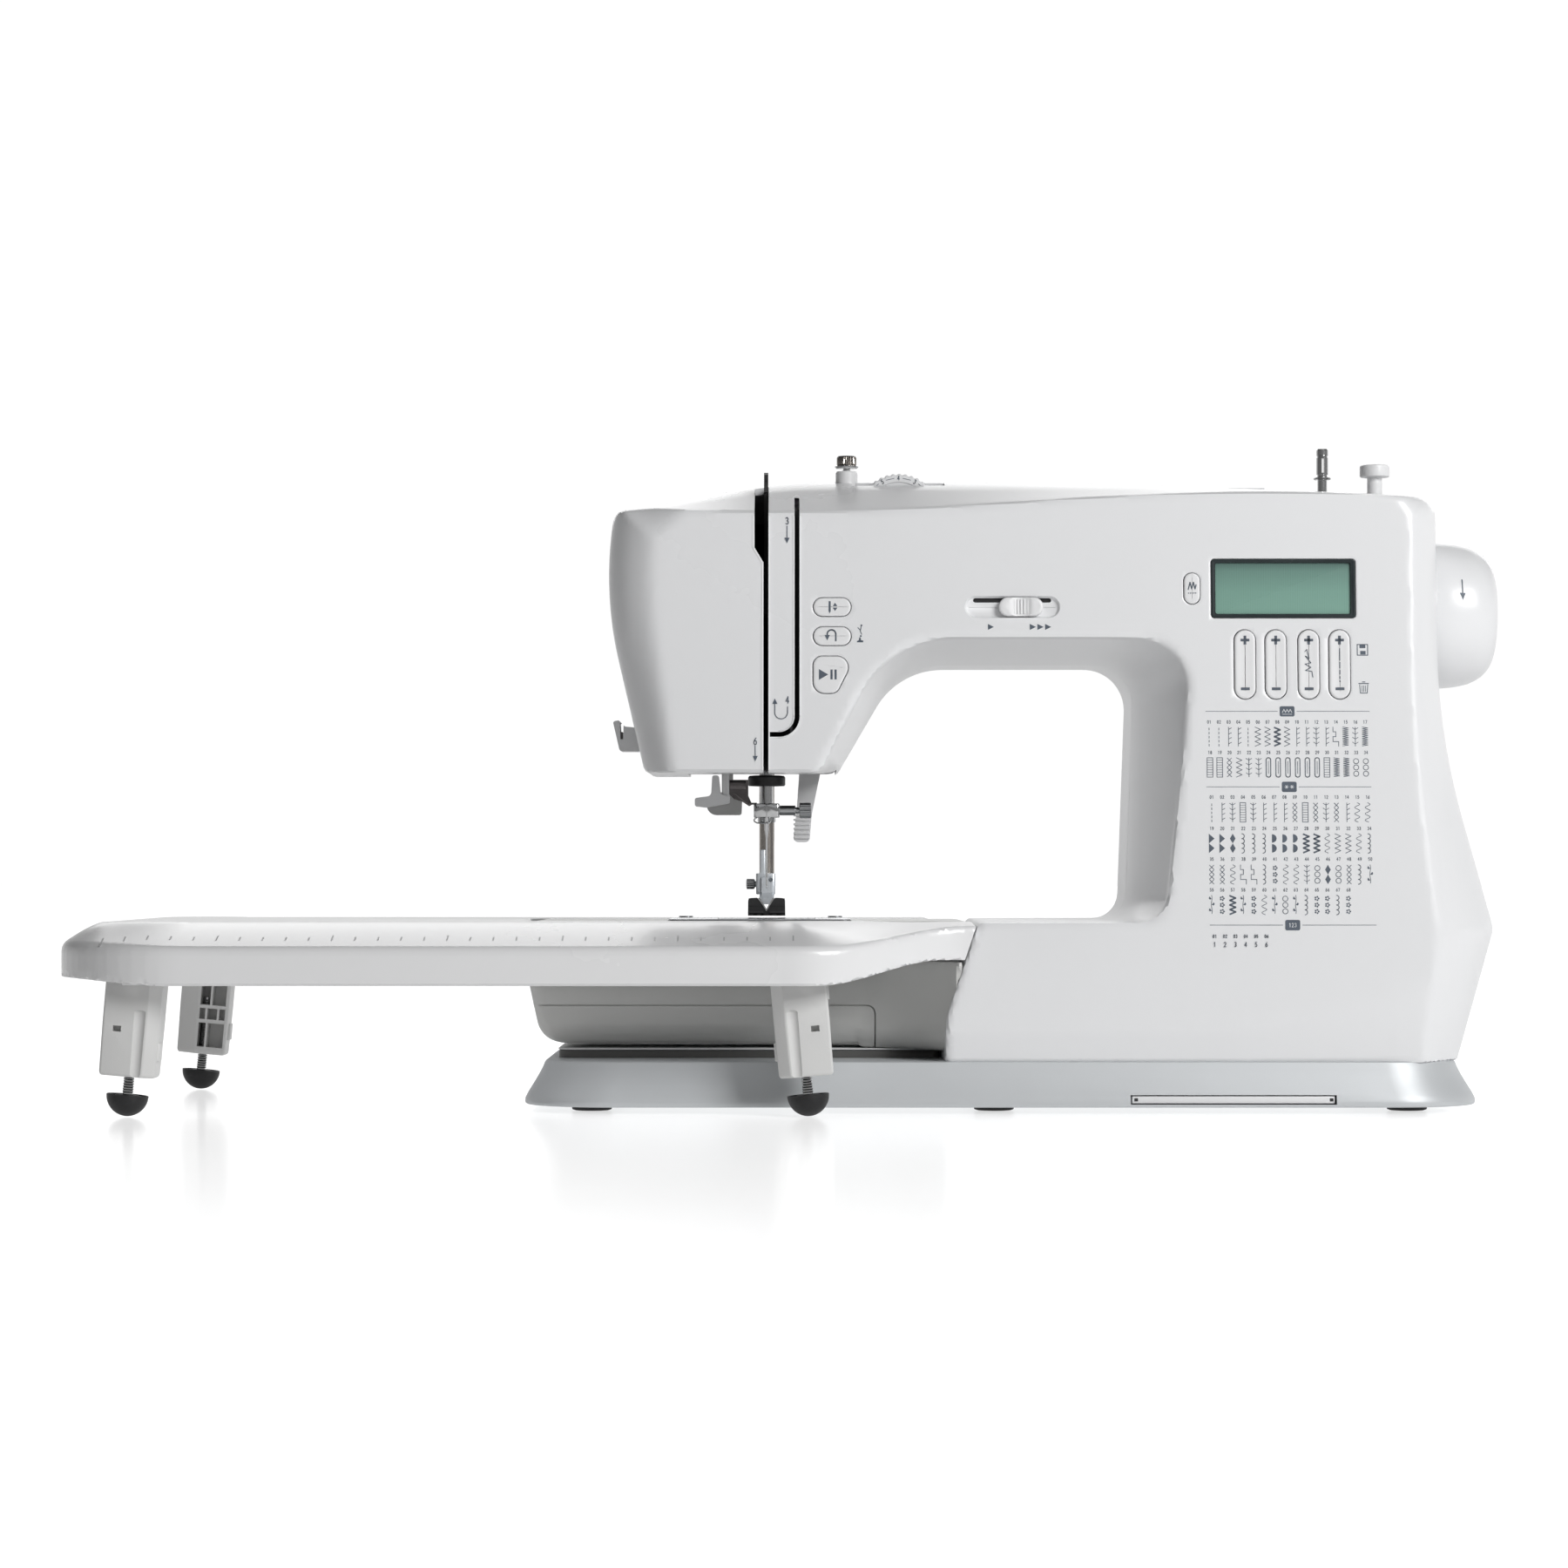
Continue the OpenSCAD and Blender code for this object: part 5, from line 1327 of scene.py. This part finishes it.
nn = 160
rings = []
for y, r in ((-44, 17.2), (-44, 18.3), (-44.5, 18.7), (-51.3, 18.7), (-51.9, 18.2), (-52, 17.4), (-52, 15),
        (-51.6, 14.6), (-51.6, 2.05)):
    ring = []
    for k in range(nn):
        t = 2 * math.pi * k / nn
        rr = r + (0 if r < 18.1 or (k % 4) < 2 else -0.55)
        ring.append((DIAL_X + rr * math.sin(t), y, DIAL_Z + rr * math.cos(t)))
    rings.append(ring)
inner_ring = [[(DIAL_X + 2.05 * math.sin(2 * math.pi * k / nn), y,
    DIAL_Z + 2.05 * math.cos(2 * math.pi * k / nn)) for k in range(nn)] for y in (-51.6, -44)]
dial_ob = loft("tension_wheel", rings + inner_ring[1:] + [rings[0]], 32, False)
put(dial_ob, "tension_dial", "casing", "tension_dial")
dm = Ink()


def on_dial(x, y, z):
    a = x / 16.2
    rr = 16.2 + y
    return (DIAL_X + rr * math.sin(a), -52 - z, DIAL_Z + rr * math.cos(a))


for k, ch in enumerate("987654321"):
    dm.digits(ch, (k - 5) * 7.4, 0.5, 1.9, 0.32)
    dm.line([((k - 5) * 7.4 + 1.9, 0.5), ((k - 5) * 7.4 + 5.5, 0.5)], 0.25)
mark(dm, "tension_numbers", "tension_dial", None, lift=0.06, sink=0.1, wrap=on_dial)

# bobbin winder, its stopper and the pretension guide
wind = lathe("winder_pin", [(0, 266), (2.2, 266), (2.2, 286.2), (3.6, 286.3), (4, 286.6), (4, 287.2),
    (3.7, 287.4), (2.3, 287.6), (2.3, 288.6), (2.7, 288.7), (2.7, 296.5), (2.45, 296.7), (2.45, 297.3),
    (2.7, 297.5), (2.7, 299.9), (2.3, 300.45), (1.5, 300.6), (1.4, 299.6), (0, 299.6)], 40, at(*WINDER), 30)
disc = lathe("d", [(0, 264), (8.7, 264), (9, 264.3), (9, 267.7), (8.7, 268), (0, 268)], 48, at(*WINDER))
boolean(wind, disc, "UNION")
boolean(wind, box("c", (242.3, -36, 289.5), (243.3, -28, 296)))
shade(wind, 30)
put(wind, "winder", "chrome", "winder_spindle")
stop = lathe("bobbin_stop", [(0, 274), (3.4, 274), (3.4, 287.2), (4.2, 287.4), (6.2, 287.5), (6.75, 287.9),
    (6.8, 288.4), (6.8, 292), (6.6, 292.7), (6, 293), (4, 293), (0, 293)], 48, at(*STOPPER), 30)
put(stop, "machine", "key", "bobbin_stopper")
put(lathe("pretension_collar", [(0, 277), (5, 277), (5, 286.2), (5, 288.8), (4.6, 289.4), (2.2, 289.4),
    (2.2, 289.8), (0, 289.8)], 40, at(*TOP_POST), 30), "machine", "key", "winder_tension")
put(lathe("pretension_post", [(0, 289), (1.7, 289), (1.7, 290.6), (4.6, 290.7), (5.4, 291.3), (5.4, 291.8),
    (4.4, 292.2), (0, 292.4)], 40, at(*TOP_POST), 30), "machine", "chrome", ())
knob_prof = [(291.9, 3.9), (292.5, 4.5), (295.7, 4.5), (296.4, 4), (296.4, 1.6), (295.6, 1.3)]
put(knurled("pretension_knob", knob_prof, 72, 0.28, 4.2, lambda h, c, s: (TOP_POST[0] + c, TOP_POST[1] + s, h)),
    "machine", "brass", ())
pin = lathe("spool_rod", [(0, 128), (1.8, 128), (2.6, 128.8), (2.9, 130), (2.9, 206), (0, 206)], 32,
    at(0, 14, 274) @ TURN_X)
cap = lathe("c", [(0, 206), (10.2, 206), (11, 206.6), (11, 208), (10.4, 209), (0, 209)], 48,
    at(0, 14, 274) @ TURN_X)
foot = block("f", (208.5, 6, 262), (215, 22, 278), 1.5, 0.6)
put(union("spool_rod", [pin, cap, foot]), "machine", "key", "spool_pin")

# take-up lever, its eye at the top of the left slot
lever = prism("take_up", [(-5, -2.2), (5, -2.2), (2.2, 14), (2.2, 57), (3.2, 60), (1.6, 63), (-2, 63.2),
    (-3.6, 61), (-9, 60.2), (-9.4, 57.2), (-8, 56), (-2.2, 56), (-2.2, 14)], -0.95, 0.95, "x")
boolean(lever, drum(1.1, -3, 3, 20, at(0, 0, 60) @ TURN_X))
hub = drum(5, -0.65, 0.65, 40, TURN_X)
boolean(lever, hub, "UNION")
boolean(lever, drum(1.85, -3, 3, 24, TURN_X))
lever.data.transform(at(-12.05 * MM, -40 * MM, 228 * MM) @ Matrix.Rotation(math.radians(22), 4, "X"))
put(lever, "take_up", "black", "take_up_lever")

# ---------------------------------------------------------------- needle, presser and feed

bar = lathe("needle_bar_rod", [(0, 131), (2.5, 131), (3, 131.5), (3, 267.4), (2.4, 268), (0, 268)], 40,
    at(NEEDLE_X, NEEDLE_BAR_Y, 0), 30)
con = prism("c", [(-18, 211), (-12, 211), (-12, 236), (-9.6, 240.5), (-12, 245), (-18, 245), (-20.4, 240.5),
    (-18, 236)], -5, -2, "x")
clampblock = block("b", (-18, -20, 207), (-6.5, -10, 215), 1.5, 0.5)
boolean(bar, [clampblock, con, rod("p", "x", (-15, 211), -7, -4.8, 2.5)], "UNION")
boolean(bar, rod("c", "x", (-15, 240.5), -8, 0, 2.7, 0.01))
shade(bar, 30)
put(bar, "needle_bar", "chrome", "needle_bar")
cl = block("clamp", (-18, -20, 131.6), (-6, -10.5, 138.2), 1.4, 0.5)
boolean(cl, [lathe("b", [(0, 129.4), (3.7, 129.4), (4.2, 129.9), (4.2, 132), (0, 132)], 32,
    at(NEEDLE_X, NEEDLE_BAR_Y, 0))], "UNION")
boolean(cl, [rod("c", "z", (NEEDLE_X, NEEDLE_BAR_Y), 129, 139, 3.02, 0.01), rod("c", "z", (NEEDLE_X, NEEDLE_Y),
    129, 139, 1.03, 0.01)])
shade(cl, 30)
cl.name = "needle_clamp_block"
put(cl, "needle_bar", "chrome", "needle_clamp")
clamp_prof = [(-6.2, 2), (-5.9, 2.3), (1.2, 2.3), (1.4, 1.5), (3, 1.5), (3.05, 3.1), (3.4, 3.6), (8.2, 3.6),
    (8.6, 3.2), (8.6, 1.2)]
put(knurled("needle_clamp_screw", clamp_prof, 60, 0.22, 3.5, lambda h, c, s: (h, -16 + c, 135 + s)),
    "needle_bar", "steel", ())


def tube(name, pts, r, n=10):
    """Round wire through points, in mm."""
    rings = []
    pts = [Vector(p) for p in pts]
    up = Vector((0, 0, 1)) if abs((pts[1] - pts[0]).normalized().z) < 0.9 else Vector((0, 1, 0))
    for k, p in enumerate(pts):
        t = (pts[min(k + 1, len(pts) - 1)] - pts[max(k - 1, 0)]).normalized()
        u = (up - t * up.dot(t)).normalized()
        v = t.cross(u)
        up = u
        turns = [2 * math.pi * i / n for i in range(n)]
        rings.append([tuple(p + (u * math.cos(a) + v * math.sin(a)) * r) for a in turns])
    return loft(name, rings, 60)


wire = tube("needle_thread_guide", [(-16.5, -18.6, 131.8), (-17.3, -20, 131.2), (-17.8, -21.8, 130.6),
    (-17.6, -22.3, 129.8), (-16.4, -22.4, 129.2), (-13, -22.4, 129), (-10.6, -22.4, 129.3),
    (-10, -22.3, 130.1)], 0.35)
put(wire, "needle_bar", "chrome", ())
nd = lathe("sewing_needle", [(0, 138), (0.8, 138), (1, 137.7), (1, 126.2), (0.62, 123.6), (0.42, 122),
    (0.42, 102.4), (0.36, 101.4), (0.1, 99), (0, 98.8)], 20, at(NEEDLE_X, NEEDLE_Y, 0), 30)
boolean(nd, [box("c", (-13.2, -18.35, 126.5), (-10.8, -17, 139)), box("c", (-12.12, -20, 102.8),
    (-11.88, -18, 104.2))])
shade(nd, 30)
put(nd, "needle_bar", "chrome", "needle")
collar = lathe("needle_plate_collar", [(6.2, 146.2), (8.2, 146.3), (8.6, 146.9), (8.6, 150.2), (8, 151),
    (6.2, 151.2), (6.2, 146.2)], 48, at(NEEDLE_X, NEEDLE_BAR_Y, 0), 30)
put(collar, "machine", "black", ())

pb = lathe("presser_rod", [(0, 97), (3.1, 97), (3.5, 97.4), (3.5, 257.5), (3, 258), (0, 258)], 40,
    at(NEEDLE_X, PRESSER_Y, 0), 30)
boolean(pb, [block("b", (-19, -2.5, 196), (-5, 7, 204), 1, 0.5), block("b", (-5.5, 1, 198), (2, 7, 202), 0.6,
    0.3)], "UNION")
shade(pb, 30)
put(pb, "presser_bar", "brass", "presser_bar")
ank = block("ankle", (-17, -7, 96.2), (-8, 6.5, 106), 1.2, 0.5)
fork = prism("a", [(-6.7, 97.2), (-11.6, 94.2), (-11.6, 91.6), (-6.6, 91.6), (-6.6, 96.2), (-5.5, 96.6)], -15.4,
    -8.6, "x")
up = block("a", (-15.2, -6.6, 105.5), (-12.6, -4.6, 117), 0.6, 0.4)
spring = prism("a", [(-7.2, 104.5), (-8, 104), (-8.4, 97), (-11.2, 94.5), (-10.2, 94), (-7, 97)], -14.4, -9.6,
    "x")
boolean(ank, [fork, up, spring], "UNION")
boolean(ank, [rod("c", "z", (NEEDLE_X, PRESSER_Y), 96.9, 108, 3.5, 0.01), rod("c", "y", (-10.2, 103), -30, -3,
    1, 0.01), rod("c", "x", (-9, 92.8), -30, 0, 0.9, 0.01)])
ank.name = "foot_ankle"
shade(ank, 30)
put(ank, "presser_bar", "satin", "foot_holder")
ankle_prof = [(-21.6, 1.6), (-21.3, 2.4), (-18, 2.4), (-17.6, 2), (-17.4, 1.4), (-15.8, 1.4)]
put(knurled("ankle_screw", ankle_prof, 42, 0.2, 2.3, lambda h, c, s: (h, -1 + c, 101 + s)), "presser_bar",
    "steel", ())
put(rod("ankle_pin", "x", (-9, 92.8), -17.8, -6.2, 0.88, 0.2, 20), "presser_bar", "chrome", ())

# clip-on foot: sole with upturned toes, side cheeks and a bright insert
sole = prism("sole", [(-28, 88.6), (-28.2, 87.8), (-26.5, 87), (-23, 86.45), (-20, 86.4), (4, 86.4),
    (4.2, 87.4), (3.6, 88.2), (-22, 88.3), (-25, 88.5)], -20.6, -3.4, "x")
cheeks = []
for x in (-20.4, -7.2):
    cheeks.append(prism("k", [(-18, 88), (-17.2, 90.6), (-13.6, 93.6), (-11, 94.4), (-7, 94.4), (-4, 92.6),
        (-0.5, 89.6), (1, 88)], x, x + 3.6, "x"))
boolean(sole, cheeks, "UNION")
toe = pad("c", round_rect(-13.4, -31, -10.6, -17, 0, 4), [(0, 80), (0, 92)])
boolean(sole, [toe, pad("c", pill(9.6, 3.4) + np.array([NEEDLE_X, NEEDLE_Y]), [(0, 80), (0, 100)]),
    rod("c", "x", (-9, 92.8), -22, -2, 1.25, 0.01), box("c", (-18.2, -12.6, 80), (-5.8, -5.6, 90))])
front_wall = prism("w", rounded([[-20.6, 86.8, 0.3], [-12.6, 86.8, 0], [-12.2, 88.5, 0.4], [-11.6, 86.8, 0],
    [-3.4, 86.8, 0.3], [-3.5, 94.6, 1.4], [-8.2, 94.8, 0.8], [-12.1, 88.9, 0.3], [-16.2, 94.8, 0.8],
    [-20.5, 94.6, 1.4]], 5), -27.6, -25.2)
boolean(sole, front_wall, "UNION")
slits = [box("c", (x, -29, 85), (x + w, -23.5, 87.5)) for x, w in ((-18.2, 1.9), (-14.6, 1.6), (-11.2, 1.6),
    (-7.6, 2.2))]
slits.append(box("c", (-21, -28, 90.7), (-3, -27.2, 91)))
boolean(sole, slits)
shade(sole, 30)
sole.name = "zigzag_foot"
put(sole, "presser_foot", "black", "presser_foot")
vee = prism("v", [(-15.9, 94.6), (-12.1, 88.6), (-8.4, 94.6), (-9.2, 94.9), (-12.1, 89.7), (-15.1, 94.9)], -28,
    -24.8)
put(vee, "presser_foot", "chrome", ())
vee.name = "foot_insert"

lift = prism("lifter", rounded([[0.2, 120.6, 2.2], [8, 120.6, 2.2], [9.1, 134, 2], [14.2, 158.5, 3],
    [14, 166, 4.8], [4.6, 166, 4.8], [3.6, 160, 3], [2, 136, 2]], 5), 20.4, 25.6)
ribs = [block("r", (0.5, 19.3, 122.2 + 2.1 * k), (8.1 + 0.08 * k, 20.8, 123.2 + 2.1 * k), 0.5,
    0.3) for k in range(6)]
boolean(lift, ribs, "UNION")
boolean(lift, rod("c", "y", (9, 162), 10, 40, 2.05, 0.01))
shade(lift, 30)
lift.name = "presser_lever"
put(lift, "lifter", "key", "presser_lifter")

th = union("threader_lever", [block("a", (-32.6, -27, 140), (-29, -23, 205), 0.8, 0.4),
    prism("b", rounded([[-45, 136.8, 1], [-40, 136.2, 1], [-29, 138.2, 1], [-29, 141.4, 1], [-33, 142.2, 2],
    [-34, 151, 1], [-37, 151, 1], [-37.5, 141.6, 2], [-45, 140.6, 1]], 4), -28, -22)])
put(th, "threader", "key", "needle_threader")
hook = union("threader_hook", [prism("b", [(-29.6, 143), (-27.2, 140.2), (-23.2, 138.9), (-20, 136.8),
    (-18.6, 137.6), (-20.4, 141.6), (-20.4, 149), (-29.6, 149)], -26.6, -25.6),
    block("b", (-29.4, -26.8, 144.5), (-21.4, -24.2, 148.6), 0.6, 0.3), rod("b", "x", (-26.2, 138), -20.4,
    -16.5, 0.45, 0.1, 16)])
put(hook, "threader", "dark_steel", ())
bh = union("buttonhole_arm", [prism("b", rounded([[-40.5, 133.4, 4.8], [-24, 133.4, 1.2], [-23.6, 144.2, 1.2],
    [-40.5, 144.2, 4.8]], 6), 28, 30.4), block("b", (-33, 28, 143), (-28, 30, 200), 0.6, 0.3)])
put(bh, "buttonhole_lever", "leg", "buttonhole_lever")

cut = prism("thread_cutter_hook", rounded([[-81.9, 175.2, 1], [-78.8, 161.6, 1.4], [-69.39, 161.6, 0.2],
    [-71.94, 172.4, 0.2], [-76.4, 172.8, 1.2], [-79.2, 175.6, 0.6]], 4), -48, -30)
boolean(cut, prism("c", [(-78.4, 167), (-77.2, 167), (-77, 174.6), (-78.8, 174.6)], -60, -20))
shade(cut, 30)
put(cut, "machine", "key", "thread_cutter")
put(box("cutter_blade", (-78.2, -46, 167.2), (-77.6, -32, 170.4)), "machine", "dark_steel", ())

plate = pad("stitch_plate", round_rect(-56.6, -60, 26.5, 28, 4, 5), [(0.2, 83.5), (0, 83.7), (0, 85),
    (0.15, 85.2), (0.45, PLATE_TOP)], None, 30)
boolean(plate, [pad("c", pill(8.4, 2.6) + np.array([NEEDLE_X, NEEDLE_Y]), [(0, 80), (0, 85), (-0.3, 86)])]
        + [pad("c", pill(3.2, 32) + np.array([NEEDLE_X + s * 7, -14]), [(0, 80), (0, 90)]) for s in (-1, 1)]
        + [pad("c", round_rect(-34.2, -57.2, 10.2, -31.3, 1.5, 4), [(0, 80), (0, 90)])]
        + [rod("c", "z", (x, 20), 80, 90, 2.1, 0.01) for x in (-50, 20)])
shade(plate, 30)
put(plate, "machine", "plate", "needle_plate")
pm = Ink()
for k in range(6):
    pm.rect(4 + 3.2 * k, -14, 0.25, 22).rect(-28 - 3.2 * k, -14, 0.25, 22)
    pm.digits(str(k + 1), 4 + 3.2 * k, 2, 1.8, 0.25)
mark(pm, "plate_lines", "machine", at(0, 0, PLATE_TOP), "black", lift=0.03)
bc = pad("bobbin_window", round_rect(-34, -57, 10, -31.5, 1.4, 4), [(0.2, 83.5), (0, 83.7), (0, 85),
    (0.3, PLATE_TOP)], None, 30)
put(bc, "bobbin_cover", "clear", "bobbin_cover")
fd = []
for s in (-1, 1):
    x = NEEDLE_X + s * 7
    teeth = [(-27, 81.8)] + [q for k in range(13) for q in ((-27 + 2 * k, 83.3), (-25.9 + 2 * k, 84.4),
        (-25.5 + 2 * k, 84.4), (-25.2 + 2 * k, 83.3))]
    teeth += [(-1, 83.3), (-1, 78), (-9, 78), (-9, 81.8)]
    fd.append(prism("t", teeth, x - 1.1, x + 1.1, "x"))
fd.append(block("t", (-21, -9, 72), (-3, 8, 78.2), 1, 0.4))
put(union("feed_teeth", fd, 25), "feed_dog", "steel", "feed_dog")

# ---------------------------------------------------------------- back and right end

grip = []
for x in (30.4, 145.6):
    grip.append(prism("s", rounded([[52.6, 212, 3], [59, 212, 3], [60.2, 240, 20], [61.4, 262, 5.2],
        [61.4, 271.4, 5.3], [50.6, 271.4, 5.3], [50.6, 262, 5.2]], 5), x, x + 6, "x"))
grip.append(prism("s", round_rect(51.6, 210, 60.4, 220, 4, 6), 30.4, 151.6, "x"))
grip.append(rod("s", "x", HANDLE_PIVOT, 24, 36.4, 2.5))
grip.append(rod("s", "x", HANDLE_PIVOT, 145.6, 158, 2.5))
put(union("carry_grip", grip, 30), "carry_handle", "leg", "carry_handle")
rock = prism("mains_rocker", [(11.5, 50.5), (30.5, 50.5), (30.5, 61.5), (11.5, 61.5)], 290.5, 294.2, "x")
boolean(rock, rod("c", "y", (304.2, 56), 5, 40, 10.6, 0.01, 64))
rock2 = rod("r", "y", (291.2, 56), 11.5, 30.5, 1.5)
put(union("mains_rocker", [rock, rock2], 30), "power_switch", "black", "power_switch")
sw = Ink().rect(0, 0, 0.7, 4).arc(9, 0, 1.9, 0, 360, 0.5, 16)
mark(sw, "rocker_marks", "power_switch", at(293.6, 16.5, 56) @ TO_FRONT @ TURN_X, "ink_white", lift=0.1,
    sink=0.3)
inlet = prism("mains_inlet", round_rect(38, 44, 58, 68, 2, 4), 286, 292.8, "x")
boolean(inlet, prism("c", round_rect(41, 48, 55, 64, 4, 6), 288.5, 296, "x"))
pins = [rod("p", "x", (48, z), 288, 292.2, 1.1, 0.2, 16) for z in (52.5, 59.5)]
put(union("mains_inlet", [inlet] + pins, 30), "machine", "black", ())

for name, mat in {"chassis": "cast", "tension_unit": "black", "display_board": "board", "drive_belts": "belt",
        "motors": "motor", "casing_screws": "steel", "main_shaft": "steel", "lower_shaft": "steel",
        "motor_pulley": "steel", "rotary_hook": "chrome", "bobbin": "clear",
        "needle_bar_frame": "cast"}.items():
    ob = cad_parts[name]
    ob.data.materials.clear()
    ob.data.materials.append(M[mat])

# ---------------------------------------------------------------- floor, light and camera

FLOOR_DROP = 0.3        # the floor lies this far below the pads, in mm
floor_mat = material("studio_floor", (0.72, 0.72, 0.72), 0.16, vary=0.003, scale=3, bump=0, grain=50,
    rough_vary=0.02, specular=0.22)
floor = build("studio_floor", [(x, y, -FLOOR_DROP) for x, y in ((-9000, -5000), (9000, -5000), (9000, 30000),
    (-9000, 30000))], [(0, 1, 2, 3)], None)
glow = node(floor_mat.node_tree, "Math")
glow.operation = "MULTIPLY_ADD"
glow.inputs[1].default_value = 0.25
glow.inputs[2].default_value = 0.33
floor_bsdf = floor_mat.node_tree.nodes["Principled BSDF"].inputs
floor_mat.node_tree.links.new(node(floor_mat.node_tree, "LightPath").outputs["Is Camera Ray"], glow.inputs[0])
floor_mat.node_tree.links.new(glow.outputs[0], floor_bsdf["Emission Strength"])
floor_bsdf["Emission Color"].default_value = (1, 1, 1, 1)
floor.data.materials.append(floor_mat)

world = bpy.data.worlds.new("studio")
bpy.context.scene.world = world
world.use_nodes = True
sky = world.node_tree
link = sky.links.new
back = sky.nodes["Background"].inputs
back["Color"].default_value = (1, 1, 1, 1)
axes = node(sky, "SeparateXYZ")
link(node(sky, "TexCoord").outputs["Generated"], axes.inputs["Vector"])


def span(source, a, b, lo, hi):
    """Value that goes smoothly from lo to hi as one axis of the direction goes from a to b."""
    n = node(sky, "MapRange", From_Min=a, From_Max=b, To_Min=lo, To_Max=hi)
    n.interpolation_type = "SMOOTHSTEP"
    link(axes.outputs[source], n.inputs["Value"])
    return n.outputs["Result"]


def times(a, b):
    n = node(sky, "Math")
    n.operation = "MULTIPLY"
    link(a, n.inputs[0])
    link(b, n.inputs[1])
    return n.outputs["Value"]


room = times(times(span("Y", 0, 0.75, 0.26, 1), span("X", -0.9, 0.4, 0.6, 1)), span("Z", 0.05, 0.5, 1, 0.22))
pick = node(sky, "Mix")
pick.inputs[3].default_value = 1.02
link(node(sky, "LightPath").outputs["Is Camera Ray"], pick.inputs[0])
link(room, pick.inputs[2])
link(pick.outputs[0], back["Strength"])


def lamp(name, loc, target, size, power):
    data = bpy.data.lights.new(name, "AREA")
    data.shape = "RECTANGLE"
    data.size, data.size_y = size
    data.energy = power
    ob = bpy.data.objects.new(name, data)
    ob.location = loc
    ob.rotation_euler = (Vector(target) - Vector(loc)).to_track_quat("-Z", "Y").to_euler()
    bpy.context.scene.collection.objects.link(ob)


lamp("key_light", (1.35, -1.7, 1.15), (0.1, 0, 0.15), (0.9, 0.9), 36)
lamp("top_light", (0.2, 0.1, 1.7), (0, 0, 0.15), (1.4, 0.8), 1)
lamp("back_light", (0.1, 1.3, 0.8), (0, 0, 0.12), (1.8, 0.7), 6)

cam_data = bpy.data.cameras.new("camera")
cam_data.sensor_width = SENSOR
cam_data.lens = FOCAL / SHEET * SENSOR
cam_data.shift_y = HORIZON_SHIFT / SHEET
cam = bpy.data.objects.new("camera", cam_data)
cam.location = (-VIEW_X * MM, -VIEW_Y * MM, VIEW_Z * MM)
cam.rotation_euler = (math.pi / 2, 0, 0)
bpy.context.scene.collection.objects.link(cam)
bpy.context.scene.camera = cam
bpy.context.scene.view_settings.view_transform = "Standard"
